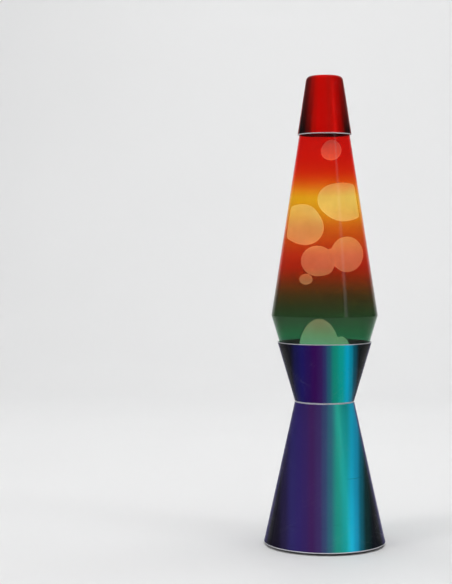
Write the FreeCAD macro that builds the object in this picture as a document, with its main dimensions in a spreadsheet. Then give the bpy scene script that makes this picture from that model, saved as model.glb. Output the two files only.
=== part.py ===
import FreeCAD, Part
import math
import os
import Sketcher
from FreeCAD import Vector, Placement, Rotation

# Motion lamp: a spun base of two cones joined at a narrow waist, a sealed tapered bottle that
# stands in the upper cone, a spun cap over the bottle's neck, and a reflector bulb below the bottle.
# Millimetres, +Z up, origin on the floor at the lamp's axis, front towards -Y.

doc = FreeCAD.newDocument("motion_lamp")
dim = doc.addObject("Spreadsheet::Sheet", "Dim")

TABLE = [
    # overall outline
    ("total_height", 400.0, "floor to the top of the cap"),
    ("foot_rad", 52.0, "base, outer radius at its lower edge"),
    ("foot_low", 2.0, "base's lower edge above the floor"),
    ("waist_rad", 25.25, "base, outer radius at the waist"),
    ("waist_high", 123.0, "height of the waist seam"),
    ("lip_rad", 40.25, "upper cone, outer radius at the lip"),
    ("lip_high", 174.0, "height of the lip"),
    ("shell_wall", 1.03, "wall of the spun shells, measured level"),
    ("flange_rad", 20.6, "clear radius through the waist flanges"),
    ("ledge_rad", 43.0, "inner radius of the ledge the bottom plate is screwed to"),
    ("plate_thick", 1.2, "bottom plate"),
    ("plate_rad", 50.4, "bottom plate, outer radius"),
    # bottle
    ("bottle_low", 135.0, "height of the bottle's bearing face"),
    ("bottle_foot_rad", 26.98, "bottle, outer radius at the bearing face"),
    ("shoulder_rad", 45.35, "bottle, outer radius at the shoulder corner"),
    ("shoulder_high", 196.5, "height of the shoulder corner"),
    ("throat_rad", 19.67, "bottle, outer radius where the neck curve begins"),
    ("throat_high", 362.0, "height where the neck curve begins"),
    ("neck_rad", 12.8, "neck, outer radius"),
    ("finish_rad", 13.3, "crown finish, outer radius"),
    ("finish_high", 393.9, "height of the bottle's mouth"),
    ("mouth_rad", 9.5, "bore of the neck, radius"),
    ("glass_wall", 2.2, "bottle wall, measured level"),
    ("inner_floor", 138.7, "height of the floor inside the bottle"),
    ("fill_high", 357.0, "height of the liquid's surface"),
    ("fill_gap", 0.08, "gap that parts the filling from the glass"),
    ("wax_gap", 0.6, "film of liquid between a wax blob and the glass"),
    ("film", 0.35, "film of liquid round each floating blob"),
    ("pair_left", 13.4, "joined blobs, left ball's radius"),
    ("pair_right", 14.6, "joined blobs, right ball's radius"),
    ("pair_neck", 3.4, "joined blobs, radius of the neck's hollow"),
    ("pair_apart", 25.6, "joined blobs, between the balls' centres"),
    # cap
    ("cap_low", 350.0, "height of the cap's rim"),
    ("cap_rad", 23.0, "cap, outer radius at the rim"),
    ("cap_top_rad", 15.25, "cap, outer radius at the top corner"),
    ("cap_corner", 4.2, "rounding of the cap's top corner"),
    ("pad_rad", 11.5, "pad in the cap, radius"),
    ("crown_high", 395.0, "height of the crown cork's top"),
    # bulb and holder
    ("bulb_rad", 19.5, "reflector bulb, outer radius"),
    ("bulb_top", 125.5, "height of the bulb's face when screwed home"),
    ("tip_low", 58.5, "height of the bulb's tip contact when screwed home"),
    ("screw_pitch", 2.822, "pitch of the bulb's screw"),
    ("holder_rad", 14.0, "lampholder, outer radius"),
    ("nipple_rad", 5.0, "threaded tube under the lampholder, radius"),
    ("bracket_top", 28.5, "height of the bracket's top face"),
    ("bracket_thick", 1.5, "bracket strip"),
    ("bracket_wide", 16.0, "bracket strip, width"),
    ("bracket_half", 20.0, "bracket, half span over the legs"),
    ("bracket_foot", 32.0, "bracket, half span over the feet"),
    # fasteners and small pieces
    ("foot_pcr", 38.0, "radius of the circle the feet sit on"),
    ("pad_foot_rad", 6.0, "rubber foot, radius"),
    ("ledge_pcr", 46.8, "radius of the circle of the plate screws"),
    ("strap_pcr", 27.0, "bracket screws from the axis"),
    ("rivet_pcr", 22.5, "radius of the circle of the waist rivets"),
    ("gland_high", 18.0, "height of the cord gland"),
    ("gland_bore", 3.3, "cord gland, bore radius"),
    ("coil_ring", 18.8, "heating coil, radius of its ring"),
    ("coil_rad", 2.1, "heating coil, radius of its winding"),
]
for row, (name, value, what) in enumerate(TABLE, 1):
    dim.set("A%d" % row, name)
    dim.set("B%d" % row, repr(value))
    dim.set("C%d" % row, what)
    dim.setAlias("B%d" % row, name)
doc.recompute()


class Q:
    """A length that knows its number and the expression that gives it."""

    def __init__(self, v, e):
        self.v, self.e = float(v), e

    def _join(self, other, sign, flip=False):
        o = other if isinstance(other, Q) else Q(other, "(%.6f)" % other)
        a, b = (o, self) if flip else (self, o)
        v = {"+": a.v + b.v, "-": a.v - b.v, "*": a.v * b.v, "/": a.v / b.v if b.v else 0.0}[sign]
        return Q(v, "(%s %s %s)" % (a.e, sign, b.e))

    def __add__(self, o):
        return self._join(o, "+")

    def __radd__(self, o):
        return self._join(o, "+", True)

    def __sub__(self, o):
        return self._join(o, "-")

    def __rsub__(self, o):
        return self._join(o, "-", True)

    def __mul__(self, o):
        return self._join(o, "*")

    def __rmul__(self, o):
        return self._join(o, "*", True)

    def __truediv__(self, o):
        return self._join(o, "/")

    def __neg__(self):
        return Q(-self.v, "(0 - %s)" % self.e)


D = {name: Q(value, "Dim." + name) for name, value, _ in TABLE}


def val(x):
    return x.v if isinstance(x, Q) else float(x)


def bind(obj, prop, x):
    """Sets a property and, for a table length, the expression that keeps it there."""
    target, *rest = prop.split(".")
    if rest:
        part = getattr(obj, target)
        if target == "Placement" and rest[0] == "Base":
            part.Base = Vector(*[val(x) if rest[1] == a else getattr(part.Base, a) for a in "xyz"])
            obj.Placement = part
    else:
        setattr(obj, prop, val(x))
    if isinstance(x, Q):
        obj.setExpression(prop, x.e)


def at(obj, x=0.0, y=0.0, z=0.0, rot=None):
    if rot is not None:
        obj.Placement = Placement(Vector(val(x), val(y), val(z)), rot)
    for a, q in zip("xyz", (x, y, z)):
        bind(obj, "Placement.Base." + a, q)
    return obj


# ---- sketches ------------------------------------------------------------------------------


def origin_item(body, role):
    return [o for o in body.Origin.OriginFeatures if o.Role == role][0]


def new_sketch(body, name, role):
    sk = body.newObject("Sketcher::SketchObject", name)
    sk.AttachmentSupport = (origin_item(body, role), [""])
    sk.MapMode = "FlatFace"
    return sk


def pin_axis(sk, geo, pos, x, kind, tag):
    v = val(x)
    if abs(v) < 1e-9:
        sk.addConstraint(Sketcher.Constraint("PointOnObject", geo, pos, -2 if kind == "DistanceX" else -1))
        return
    q = x if v > 0 else -x
    if v > 0:
        i = sk.addConstraint(Sketcher.Constraint(kind, -1, 1, geo, pos, abs(v)))
    else:
        i = sk.addConstraint(Sketcher.Constraint(kind, geo, pos, -1, 1, abs(v)))
    if isinstance(q, Q):
        sk.renameConstraint(i, tag)
        sk.setExpression("Constraints." + tag, q.e)


def pin(sk, geo, pos, x, y, tag):
    pin_axis(sk, geo, pos, x, "DistanceX", tag + "x")
    pin_axis(sk, geo, pos, y, "DistanceY", tag + "y")


def polygon(sk, pts):
    n = len(pts)
    first = sk.GeometryCount
    for i in range(n):
        a, b = pts[i], pts[(i + 1) % n]
        sk.addGeometry(
            Part.LineSegment(Vector(val(a[0]), val(a[1]), 0), Vector(val(b[0]), val(b[1]), 0)), False
        )
    for i in range(n):
        sk.addConstraint(Sketcher.Constraint("Coincident", first + i, 2, first + (i + 1) % n, 1))
    for i, (x, y) in enumerate(pts):
        pin(sk, first + i, 1, x, y, "p%d" % i)


def circles(sk, items):
    for k, (x, y, r) in enumerate(items):
        g = sk.addGeometry(Part.Circle(Vector(val(x), val(y), 0), Vector(0, 0, 1), val(r)), False)
        i = sk.addConstraint(Sketcher.Constraint("Radius", g, val(r)))
        if isinstance(r, Q):
            sk.renameConstraint(i, "rad%d" % k)
            sk.setExpression("Constraints.rad%d" % k, r.e)
        pin(sk, g, 3, x, y, "c%d" % k)


def ring_edges(shape, r, z, tol=0.02):
    """Names of the full-circle edges about the axis at that radius and height."""
    found = []
    for i, e in enumerate(shape.Edges, 1):
        c = e.Curve
        if isinstance(c, Part.Circle) and abs(c.Radius - val(r)) < tol and abs(c.Center.z - val(z)) < tol:
            found.append("Edge%d" % i)
    return found


def lathe(label, pts, rounds=()):
    """A turned piece: a closed outline of (radius, height) points swept about the axis, with rounded corners."""
    body = doc.addObject("PartDesign::Body", label)
    body.Label = label
    sk = new_sketch(body, label + "_outline", "XZ_Plane")
    polygon(sk, pts)
    rev = body.newObject("PartDesign::Revolution", label + "_turned")
    rev.Profile = sk
    rev.ReferenceAxis = (sk, ["V_Axis"])
    rev.Angle = 360.0
    sk.Visibility = False
    doc.recompute()
    last = rev
    groups = {}
    for r, z, size in rounds:
        groups.setdefault(val(size), [size, []])[1].append((r, z))
    for k, (size, spots) in enumerate(groups.values()):
        names = [n for r, z in spots for n in ring_edges(last.Shape, r, z)]
        if len(names) < len(spots):
            raise RuntimeError("%s: a corner to round was not found in %s" % (label, [(val(r), val(z)) for r, z in spots]))
        fil = body.newObject("PartDesign::Fillet", "%s_round%d" % (label, k))
        fil.Base = (last, names)
        bind(fil, "Radius", size)
        doc.recompute()
        last = fil
    return body


# ---- primitives and booleans ---------------------------------------------------------------

count = [0]


def fresh(stem):
    count[0] += 1
    return "%s_%d" % (stem, count[0])


def cyl(stem, r, h, x=0.0, y=0.0, z=0.0, rot=None):
    o = doc.addObject("Part::Cylinder", fresh(stem))
    bind(o, "Radius", r)
    bind(o, "Height", h)
    return at(o, x, y, z, rot)


def cone(stem, r_low, r_high, h, x=0.0, y=0.0, z=0.0, rot=None):
    o = doc.addObject("Part::Cone", fresh(stem))
    bind(o, "Radius1", r_low)
    bind(o, "Radius2", r_high)
    bind(o, "Height", h)
    return at(o, x, y, z, rot)


def box(stem, lx, ly, lz, x, y, z, rot=None):
    o = doc.addObject("Part::Box", fresh(stem))
    for p, q in (("Length", lx), ("Width", ly), ("Height", lz)):
        bind(o, p, q)
    return at(o, x, y, z, rot)


def blob(stem, ax, ay, az, x, y, z, grow=0.0):
    o = doc.addObject("Part::Ellipsoid", fresh(stem))
    bind(o, "Radius1", az + grow)
    bind(o, "Radius2", ax + grow)
    bind(o, "Radius3", ay + grow)
    # Its seam is turned towards the lamp's axis, away from the bottle's wall.
    return at(o, x, y, z, Rotation(Vector(0, 0, 1), 180.0) if val(x) > 0 else None)


def peanut(label, r_left, r_right, r_neck, apart, x, y, z, tilt):
    """Two balls of wax joined by a waisted neck, turned about the line between their centres."""
    body = doc.addObject("PartDesign::Body", label)
    body.Label = label
    sk = new_sketch(body, label + "_outline", "XZ_Plane")
    a, b = val(r_left) + val(r_neck), val(r_right) + val(r_neck)
    d = val(apart)
    u = (a * a - b * b + d * d) / (2.0 * d)
    v = math.sqrt(a * a - u * u)
    left, right = math.atan2(v, u), math.atan2(v, u - d)
    axis = Vector(0, 0, 1)
    sk.addGeometry(Part.ArcOfCircle(Part.Circle(Vector(0, 0, 0), axis, val(r_left)), left, math.pi), False)
    sk.addGeometry(Part.ArcOfCircle(Part.Circle(Vector(u, v, 0), axis, val(r_neck)), left + math.pi, right + math.pi), False)
    sk.addGeometry(Part.ArcOfCircle(Part.Circle(Vector(d, 0, 0), axis, val(r_right)), 0.0, right), False)
    sk.addGeometry(Part.LineSegment(Vector(d + val(r_right), 0, 0), Vector(-val(r_left), 0, 0)), False)
    sk.addConstraint(Sketcher.Constraint("Coincident", 0, 3, -1, 1))
    sk.addConstraint(Sketcher.Constraint("PointOnObject", 2, 3, -1))
    i = sk.addConstraint(Sketcher.Constraint("DistanceX", -1, 1, 2, 3, d))
    bound = [(i, "apart", apart)]
    for g, tag, r in ((0, "left", r_left), (1, "neck", r_neck), (2, "right", r_right)):
        i = sk.addConstraint(Sketcher.Constraint("Radius", g, val(r)))
        bound.append((i, tag, r))
    sk.addConstraint(Sketcher.Constraint("Tangent", 0, 1, 1, 1))
    sk.addConstraint(Sketcher.Constraint("Tangent", 1, 2, 2, 2))
    sk.addConstraint(Sketcher.Constraint("Coincident", 2, 1, 3, 1))
    sk.addConstraint(Sketcher.Constraint("Coincident", 0, 2, 3, 2))
    sk.addConstraint(Sketcher.Constraint("PointOnObject", 3, 1, -1))
    sk.addConstraint(Sketcher.Constraint("PointOnObject", 3, 2, -1))
    for i, tag, q in bound:
        if isinstance(q, Q):
            sk.renameConstraint(i, tag)
            sk.setExpression("Constraints." + tag, q.e)
    rev = body.newObject("PartDesign::Revolution", label + "_turned")
    rev.Profile = sk
    rev.ReferenceAxis = (sk, ["H_Axis"])
    rev.Angle = 360.0
    doc.recompute()
    return at(body, x, y, z, Rotation(Vector(0, 1, 0), -tilt))


def fuse(label, items):
    o = doc.addObject("Part::MultiFuse", label)
    o.Shapes = items
    o.Label = label
    return o


def group(label, items):
    o = doc.addObject("Part::Compound", label)
    o.Links = items
    o.Label = label
    return o


def cut(label, base, tools):
    tool = tools[0] if len(tools) == 1 else fuse(fresh(label + "_tools"), tools)
    o = doc.addObject("Part::Cut", label)
    o.Base, o.Tool = base, tool
    o.Label = label
    return o


def common(label, a, b):
    o = doc.addObject("Part::Common", label)
    o.Base, o.Tool = a, b
    o.Label = label
    return o


def polar(radius, degrees):
    """x and y on a circle. The sine and cosine are plain numbers, and the radius stays bound."""
    c, s = math.cos(math.radians(degrees)), math.sin(math.radians(degrees))
    c, s = (0.0 if abs(t) < 1e-9 else t for t in (c, s))
    return (radius * c if c else 0.0), (radius * s if s else 0.0)


# ---- outlines as functions of height --------------------------------------------------------

foot_slope = (D["foot_rad"] - D["waist_rad"]) / (D["waist_high"] - D["foot_low"])
cup_slope = (D["lip_rad"] - D["waist_rad"]) / (D["lip_high"] - D["waist_high"])
low_slope = (D["shoulder_rad"] - D["bottle_foot_rad"]) / (D["shoulder_high"] - D["bottle_low"])
high_slope = (D["shoulder_rad"] - D["throat_rad"]) / (D["throat_high"] - D["shoulder_high"])
cap_slope = (D["cap_rad"] - D["cap_top_rad"]) / (D["total_height"] - D["cap_low"])


def foot_out(z):
    return D["foot_rad"] - foot_slope * (z - D["foot_low"])


def cup_out(z):
    return D["waist_rad"] + cup_slope * (z - D["waist_high"])


def low_out(z):
    return D["bottle_foot_rad"] + low_slope * (z - D["bottle_low"])


def high_out(z):
    return D["throat_rad"] + high_slope * (D["throat_high"] - z)


def cap_out(z):
    return D["cap_rad"] - cap_slope * (z - D["cap_low"])


def foot_in(z):
    return foot_out(z) - D["shell_wall"]


def cup_in(z):
    return cup_out(z) - D["shell_wall"]


def low_in(z):
    return low_out(z) - D["glass_wall"]


def high_in(z):
    return high_out(z) - D["glass_wall"]


def cap_in(z):
    return cap_out(z) - D["shell_wall"]


parts = {}

# ---- base shells ----------------------------------------------------------------------------

waist, wall = D["waist_high"], D["shell_wall"]
plate_low = D["foot_low"]
ledge_low = D["foot_low"] + D["plate_thick"]
ledge_top = ledge_low + 1.0

# The lower cone is one spinning: its hem stands round the bottom plate, a ledge inside takes the
# plate's screws, and its top is turned in as a flange that is riveted to the upper cone.
foot_blank = lathe(
    "foot_cone_blank",
    [
        (D["foot_rad"], D["foot_low"]),
        (D["waist_rad"], waist),
        (D["flange_rad"], waist),
        (D["flange_rad"], waist - wall),
        (foot_in(waist - wall), waist - wall),
        (foot_in(ledge_top), ledge_top),
        (D["ledge_rad"], ledge_top),
        (D["ledge_rad"], ledge_low),
        (foot_in(ledge_low), ledge_low),
        (foot_in(D["foot_low"]), D["foot_low"]),
    ],
    [
        (D["foot_rad"], D["foot_low"], 0.45),
        (foot_in(D["foot_low"]), D["foot_low"], 0.3),
        (D["waist_rad"], waist, 0.9),
        (foot_in(ledge_top), ledge_top, 0.6),
    ],
)
rivet_angles = (90, 210, 330)
ledge_angles = (90, 210, 330)
foot_angles = (30, 150, 270)
foot_holes = [cyl("rivet_hole", 0.95, 4.0, *polar(D["rivet_pcr"], a), waist - 2.0) for a in rivet_angles]
foot_holes += [cyl("screw_hole", 1.45, 3.0, *polar(D["ledge_pcr"], a), ledge_low - 1.0) for a in ledge_angles]
# The gland's hole is square to the wall, at the back.
lean = math.degrees(math.atan(foot_slope.v))
gland_turn = Rotation(Vector(1, 0, 0), -(90.0 - lean))
gland_mid = foot_out(D["gland_high"]) - D["shell_wall"] / 2.0
gl_c, gl_s = math.cos(math.radians(lean)), math.sin(math.radians(lean))
foot_holes.append(
    cyl("gland_hole", 5.6, 12.0, 0.0, gland_mid - 6.0 * gl_c, D["gland_high"] - 6.0 * gl_s, gland_turn)
)
parts["foot_cone"] = cut("foot_cone", foot_blank, foot_holes)

cup_blank = lathe(
    "cup_cone_blank",
    [
        (D["waist_rad"], waist),
        (D["lip_rad"], D["lip_high"]),
        (D["lip_rad"] - wall, D["lip_high"]),
        (cup_in(waist + wall), waist + wall),
        (D["flange_rad"], waist + wall),
        (D["flange_rad"], waist),
    ],
    [
        (D["waist_rad"], waist, 0.9),
        (D["lip_rad"], D["lip_high"], 0.42),
        (D["lip_rad"] - wall, D["lip_high"], 0.42),
    ],
)
parts["cup_cone"] = cut(
    "cup_cone",
    cup_blank,
    [cyl("rivet_hole", 0.95, 4.0, *polar(D["rivet_pcr"], a), waist - 1.0) for a in rivet_angles],
)

rivets = []
for a in rivet_angles:
    x, y = polar(D["rivet_pcr"], a)
    rivets.append(
        fuse(
            fresh("rivet"),
            [
                cyl("rivet_shank", 0.93, 2.0 * wall + 0.6, x, y, waist - wall - 0.3),
                cone("rivet_head", 1.45, 0.9, 0.75, x, y, waist + wall),
                cone("rivet_tail", 0.9, 1.45, 0.75, x, y, waist - wall - 0.75),
            ],
        )
    )
parts["waist_rivets"] = group("waist_rivets", rivets)

# A pressed ring wedged in the upper cone: the bottle's bearing face stands on it.
seat_thick = 1.2
seat_low = D["bottle_low"] - 7.0
parts["bottle_seat_ring"] = lathe(
    "bottle_seat_ring",
    [
        (D["flange_rad"], D["bottle_low"] - seat_thick),
        (D["flange_rad"], D["bottle_low"]),
        (cup_in(D["bottle_low"]) - 0.12, D["bottle_low"]),
        (cup_in(seat_low) - 0.12, seat_low),
        (cup_in(seat_low) - 1.32, seat_low),
        (cup_in(D["bottle_low"] - seat_thick) - 1.32, D["bottle_low"] - seat_thick),
    ],
    [(D["flange_rad"], D["bottle_low"], 0.4)],
)

# ---- bottom plate, feet and screws ----------------------------------------------------------

plate = doc.addObject("PartDesign::Body", "bottom_plate")
plate.Label = "bottom_plate"
sk = new_sketch(plate, "plate_disc", "XY_Plane")
circles(sk, [(0.0, 0.0, D["plate_rad"])])
pad = plate.newObject("PartDesign::Pad", "plate_pad")
pad.Profile = sk
bind(pad, "Length", D["plate_thick"])
sk2 = new_sketch(plate, "plate_holes", "XY_Plane")
holes = [(*polar(D["foot_pcr"], a), 2.05) for a in foot_angles]
holes += [(*polar(D["ledge_pcr"], a), 1.65) for a in ledge_angles]
holes += [(*polar(D["strap_pcr"], a), 1.65) for a in (0, 180)]
holes += [(*polar(D["strap_pcr"] + 3.5, a), 2.5) for a in (40, 60, 80, 100, 120, 140, 220, 240, 260, 280, 300, 320)]
holes += [(*polar(D["strap_pcr"] - 15.0, a), 2.5) for a in (0, 60, 120, 180, 240, 300)]
circles(sk2, holes)
drill = plate.newObject("PartDesign::Pocket", "plate_drilled")
drill.Profile = sk2
drill.Type = 1  # through all
drill.Reversed = True
at(plate, 0.0, 0.0, plate_low)
parts["bottom_plate"] = plate

feet = []
for a in foot_angles:
    x, y = polar(D["foot_pcr"], a)
    top = plate_low + D["plate_thick"]
    feet.append(
        fuse(
            fresh("foot"),
            [
                cone("foot_edge", D["pad_foot_rad"] - 0.5, D["pad_foot_rad"], 0.5, x, y, 0.0),
                cyl("foot_disc", D["pad_foot_rad"], D["foot_low"] - 0.5, x, y, 0.5),
                cyl("foot_stem", 2.0, D["plate_thick"] + 0.4, x, y, plate_low - 0.2),
                cone("foot_barb", 3.1, 1.3, 3.0, x, y, top),
            ],
        )
    )
parts["rubber_feet"] = group("rubber_feet", feet)


def screw(x, y, seat, head_r, head_h, shank_r, length, up=True, slot=0.8):
    """A slotted screw whose head sits against the level `seat`; its shank goes up, or down if up is False."""
    stem = "screw"
    if up:
        bits = [
            cone(stem + "_crown", head_r - 0.5, head_r, 0.45, x, y, seat - head_h),
            cyl(stem + "_head", head_r, head_h - 0.45, x, y, seat - head_h + 0.45),
            cyl(stem + "_shank", shank_r, length - 0.8, x, y, seat - 0.1),
            cone(stem + "_point", shank_r, shank_r - 0.6, 0.9, x, y, seat + length - 0.9),
        ]
        slot_z = seat - head_h - 0.1
    else:
        bits = [
            cone(stem + "_crown", head_r, head_r - 0.5, 0.45, x, y, seat + head_h - 0.45),
            cyl(stem + "_head", head_r, head_h - 0.45, x, y, seat),
            cyl(stem + "_shank", shank_r, length - 0.8, x, y, seat - length + 0.9),
            cone(stem + "_point", shank_r - 0.6, shank_r, 0.9, x, y, seat - length),
        ]
        slot_z = seat + head_h - 0.45
    whole = fuse(fresh("screw_whole"), bits)
    return cut(
        fresh("screw_slotted"),
        whole,
        [box("screw_slot", 2.0 * head_r + 1.0, slot, 0.55, x - head_r - 0.5, y - slot / 2.0, slot_z)],
    )


parts["plate_screws"] = group(
    "plate_screws",
    [screw(*polar(D["ledge_pcr"], a), plate_low, 2.7, 1.3, 1.4, 6.5) for a in ledge_angles],
)
parts["bracket_screws"] = group(
    "bracket_screws",
    [screw(*polar(D["strap_pcr"], a), plate_low, 2.7, 1.3, 1.4, 6.0) for a in (0, 180)],
)

# ---- bracket and lampholder -----------------------------------------------------------------

base_z = plate_low + D["plate_thick"]
t, half, far, top = D["bracket_thick"], D["bracket_half"], D["bracket_foot"], D["bracket_top"]
strap = doc.addObject("PartDesign::Body", "holder_bracket_blank")
sk = new_sketch(strap, "bracket_outline", "XZ_Plane")
polygon(
    sk,
    [
        (-far, base_z),
        (-(half - t), base_z),
        (-(half - t), top - t),
        (half - t, top - t),
        (half - t, base_z),
        (far, base_z),
        (far, base_z + t),
        (half, base_z + t),
        (half, top),
        (-half, top),
        (-half, base_z + t),
        (-far, base_z + t),
    ],
)
pad = strap.newObject("PartDesign::Pad", "bracket_pad")
pad.Profile = sk
bind(pad, "Length", D["bracket_wide"])
pad.Midplane = True
doc.recompute()


def level_edges(shape, x, z, tol=0.02):
    """Straight edges along Y at that x and z."""
    out = []
    for i, e in enumerate(shape.Edges, 1):
        a, b = e.Vertexes[0].Point, e.Vertexes[-1].Point
        if all(abs(p.x - x) < tol and abs(p.z - z) < tol for p in (a, b)) and abs(a.y - b.y) > 1.0:
            out.append("Edge%d" % i)
    return out


last = pad
for k, (size, spots) in enumerate(
    [
        (2.2, [(s * half.v, top.v) for s in (-1, 1)] + [(s * (half.v - t.v), base_z.v) for s in (-1, 1)]),
        (0.7, [(s * (half.v - t.v), top.v - t.v) for s in (-1, 1)] + [(s * half.v, base_z.v + t.v) for s in (-1, 1)]),
    ]
):
    fil = strap.newObject("PartDesign::Fillet", "bracket_bend%d" % k)
    fil.Base = (last, [n for x, z in spots for n in level_edges(last.Shape, x, z)])
    fil.Radius = size
    doc.recompute()
    last = fil
parts["holder_bracket"] = cut(
    "holder_bracket",
    strap,
    [
        cyl("nipple_hole", D["nipple_rad"] + 0.1, 6.0, 0.0, 0.0, top - 4.0),
        cyl("strap_hole", 1.45, 6.0, *polar(D["strap_pcr"], 0), base_z - 2.0),
        cyl("strap_hole", 1.45, 6.0, *polar(D["strap_pcr"], 180), base_z - 2.0),
        cyl("earth_hole", 1.45, 6.0, 14.6, 0.0, top - 4.0),
    ],
)
parts["earth_screw"] = screw(14.6, 0.0, top, 2.6, 1.6, 1.4, 5.5, up=False)
parts["earth_screw"].Label = "earth_screw"

nr = D["nipple_rad"]
parts["holder_nipple"] = lathe(
    "holder_nipple",
    [(nr - 1.1, top - 8.5), (nr - 0.5, top - 8.5), (nr, top - 8.0), (nr, top + 8.0), (nr - 0.5, top + 8.5), (nr - 1.1, top + 8.5)],
)
nut = doc.addObject("Part::Prism", "nut_hex")
nut.Polygon = 6
bind(nut, "Circumradius", 8.1)
bind(nut, "Height", 3.0)
at(nut, 0.0, 0.0, top - t - 3.8)
nut_round = cone("nut_round", 7.2, 9.6, 2.4, 0.0, 0.0, top - t - 3.8)
nut_upper = cyl("nut_upper", 9.6, 0.6, 0.0, 0.0, top - t - 1.4)
nut_shape = common("nut_shape", nut, fuse("nut_limit", [nut_round, nut_upper]))
parts["nipple_nut"] = cut("nipple_nut", nut_shape, [cyl("nut_bore", nr + 0.05, 6.0, 0.0, 0.0, top - t - 5.0)])
teeth = [
    cyl("washer_notch", 0.75, 2.0, *polar(D["nipple_rad"] * 0.0 + 8.0, a), top - t - 1.4) for a in range(0, 360, 30)
]
parts["star_washer"] = cut(
    "star_washer",
    cyl("washer_disc", 7.9, 0.8, 0.0, 0.0, top - t - 0.8),
    [cyl("washer_bore", nr + 0.1, 3.0, 0.0, 0.0, top - t - 2.0)] + teeth,
)

hr = D["holder_rad"]
parts["holder_dome"] = lathe(
    "holder_dome",
    [
        (nr + 0.05, top),
        (9.0, top),
        (hr, top + 6.0),
        (hr, top + 13.0),
        (hr - 1.0, top + 13.0),
        (hr - 1.0, top + 17.5),
        (hr - 2.0, top + 17.5),
        (hr - 2.0, top + 7.0),
        (8.0, top + 2.4),
        (nr + 0.05, top + 2.4),
    ],
    [(9.0, top, 2.0), (hr, top + 6.0, 2.5)],
)
insert_low = top + 17.5
insert_top = D["tip_low"] - 0.5
parts["holder_skirt"] = lathe(
    "holder_skirt",
    [
        (hr, top + 13.0),
        (hr, D["tip_low"] + 21.5),
        (9.4, D["tip_low"] + 21.5),
        (9.4, D["tip_low"] + 20.0),
        (hr - 1.4, D["tip_low"] + 20.0),
        (hr - 1.4, insert_low + 0.2),
        (hr - 0.95, insert_low + 0.2),
        (hr - 0.95, top + 13.0),
    ],
    [(hr, D["tip_low"] + 21.5, 1.0)],
)
insert_blank = lathe(
    "holder_insert_blank",
    [(3.6, insert_low), (hr - 1.6, insert_low), (hr - 1.6, insert_top), (3.6, insert_top)],
    [(hr - 1.6, insert_top, 0.6)],
)
parts["holder_insert"] = cut(
    "holder_insert",
    insert_blank,
    [cyl("terminal_hole", 1.45, 9.0, s * 8.5, 0.0, insert_low - 1.0) for s in (-1, 1)]
    + [box("terminal_slot", 4.0, 9.0, 1.2, s * 8.5 - 2.0, -4.5, insert_low - 0.2) for s in (-1, 1)],
)
parts["terminal_screws"] = group(
    "terminal_screws",
    [screw(s * 8.5, 0.0, insert_low + 1.0, 1.9, 1.4, 1.35, 6.5, slot=0.6) for s in (-1, 1)],
)

# The screw shells are pressed metal with rolled turns. The turns are rings here, with room between
# the male and the female ones.
pitch = D["screw_pitch"]


def rolled(r_crest, r_root, z0, turns):
    """Points up a rolled wall, crest and root by turns."""
    pts = [(r_root, z0)]
    for k in range(turns):
        pts.append((r_crest, z0 + pitch * (k + 0.5)))
        pts.append((r_root, z0 + pitch * (k + 1.0)))
    return pts


shell_low = insert_top
outer = rolled(8.1, 7.75, shell_low + 0.9, 5)
inner = rolled(7.7, 7.3, shell_low + 0.9, 5)
parts["holder_shell"] = lathe(
    "holder_shell",
    [(4.9, shell_low), (7.75, shell_low)] + outer + list(reversed(inner)) + [(7.3, shell_low + 0.45), (4.9, shell_low + 0.45)],
)

tip = D["tip_low"]
spring = doc.addObject("PartDesign::Body", "holder_contact")
spring.Label = "holder_contact"
sk = new_sketch(spring, "contact_outline", "XZ_Plane")
polygon(
    sk,
    [
        (-3.0, insert_low + 0.2),
        (-2.5, insert_low + 0.2),
        (-2.5, tip - 2.3),
        (-0.6, tip - 0.6),
        (1.6, tip - 0.6),
        (2.6, tip - 1.5),
        (2.9, tip - 1.1),
        (1.8, tip - 0.1),
        (-0.8, tip - 0.1),
        (-3.0, tip - 2.0),
    ],
)
pad = spring.newObject("PartDesign::Pad", "contact_pad")
pad.Profile = sk
pad.Length = 3.4
pad.Midplane = True
parts["holder_contact"] = spring

# ---- cord gland -----------------------------------------------------------------------------

# The spool is turned about its own axis, then laid square to the wall at the back of the base.
gb = D["gland_bore"]
gland = lathe(
    "cord_gland",
    [
        (gb, 3.0),
        (gb + 3.4, 3.0),
        (gb + 4.5, 3.7),
        (gb + 4.5, 4.45),
        (gb + 2.2, 5.0),
        (gb + 2.2, 7.0),
        (gb + 4.7, 7.0),
        (gb + 4.7, 7.7),
        (gb + 3.6, 8.6),
        (gb, 8.6),
    ],
)
at(gland, 0.0, gland_mid - 6.0 * gl_c, D["gland_high"] - 6.0 * gl_s, gland_turn)
parts["cord_gland"] = gland

# ---- bulb -----------------------------------------------------------------------------------

top_b, br = D["bulb_top"], D["bulb_rad"]
screw_pts = rolled(6.9, 6.35, tip + 3.0, 4)
parts["bulb_screw_cap"] = lathe(
    "bulb_screw_cap",
    [(5.35, tip + 2.3), (5.9, tip + 2.3)]
    + screw_pts
    + [
        (6.6, tip + 15.0),
        (8.45, tip + 18.6),
        (8.45, tip + 20.5),
        (8.05, tip + 20.5),
        (8.05, tip + 18.8),
        (5.95, tip + 14.8),
        (5.95, tip + 3.0),
        (5.35, tip + 3.0),
    ],
)
parts["bulb_insulator"] = lathe(
    "bulb_insulator",
    [(1.75, tip + 1.1), (2.9, tip + 1.1), (5.25, tip + 2.3), (5.25, tip + 4.4), (1.75, tip + 4.4)],
)
parts["bulb_tip_contact"] = lathe(
    "bulb_tip_contact",
    [(0.0, tip), (1.3, tip), (2.3, tip + 0.55), (2.3, tip + 1.05), (1.4, tip + 1.05), (1.4, tip + 3.6), (0.0, tip + 3.6)],
    [(1.3, tip, 0.25)],
)
bulb_pts_out = [
    (7.6, tip + 19.2),
    (7.6, tip + 22.5),
    (br, top_b - 14.5),
    (br, top_b - 8.5),
    (15.5, top_b - 1.7),
    (0.0, top_b),
]
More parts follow.
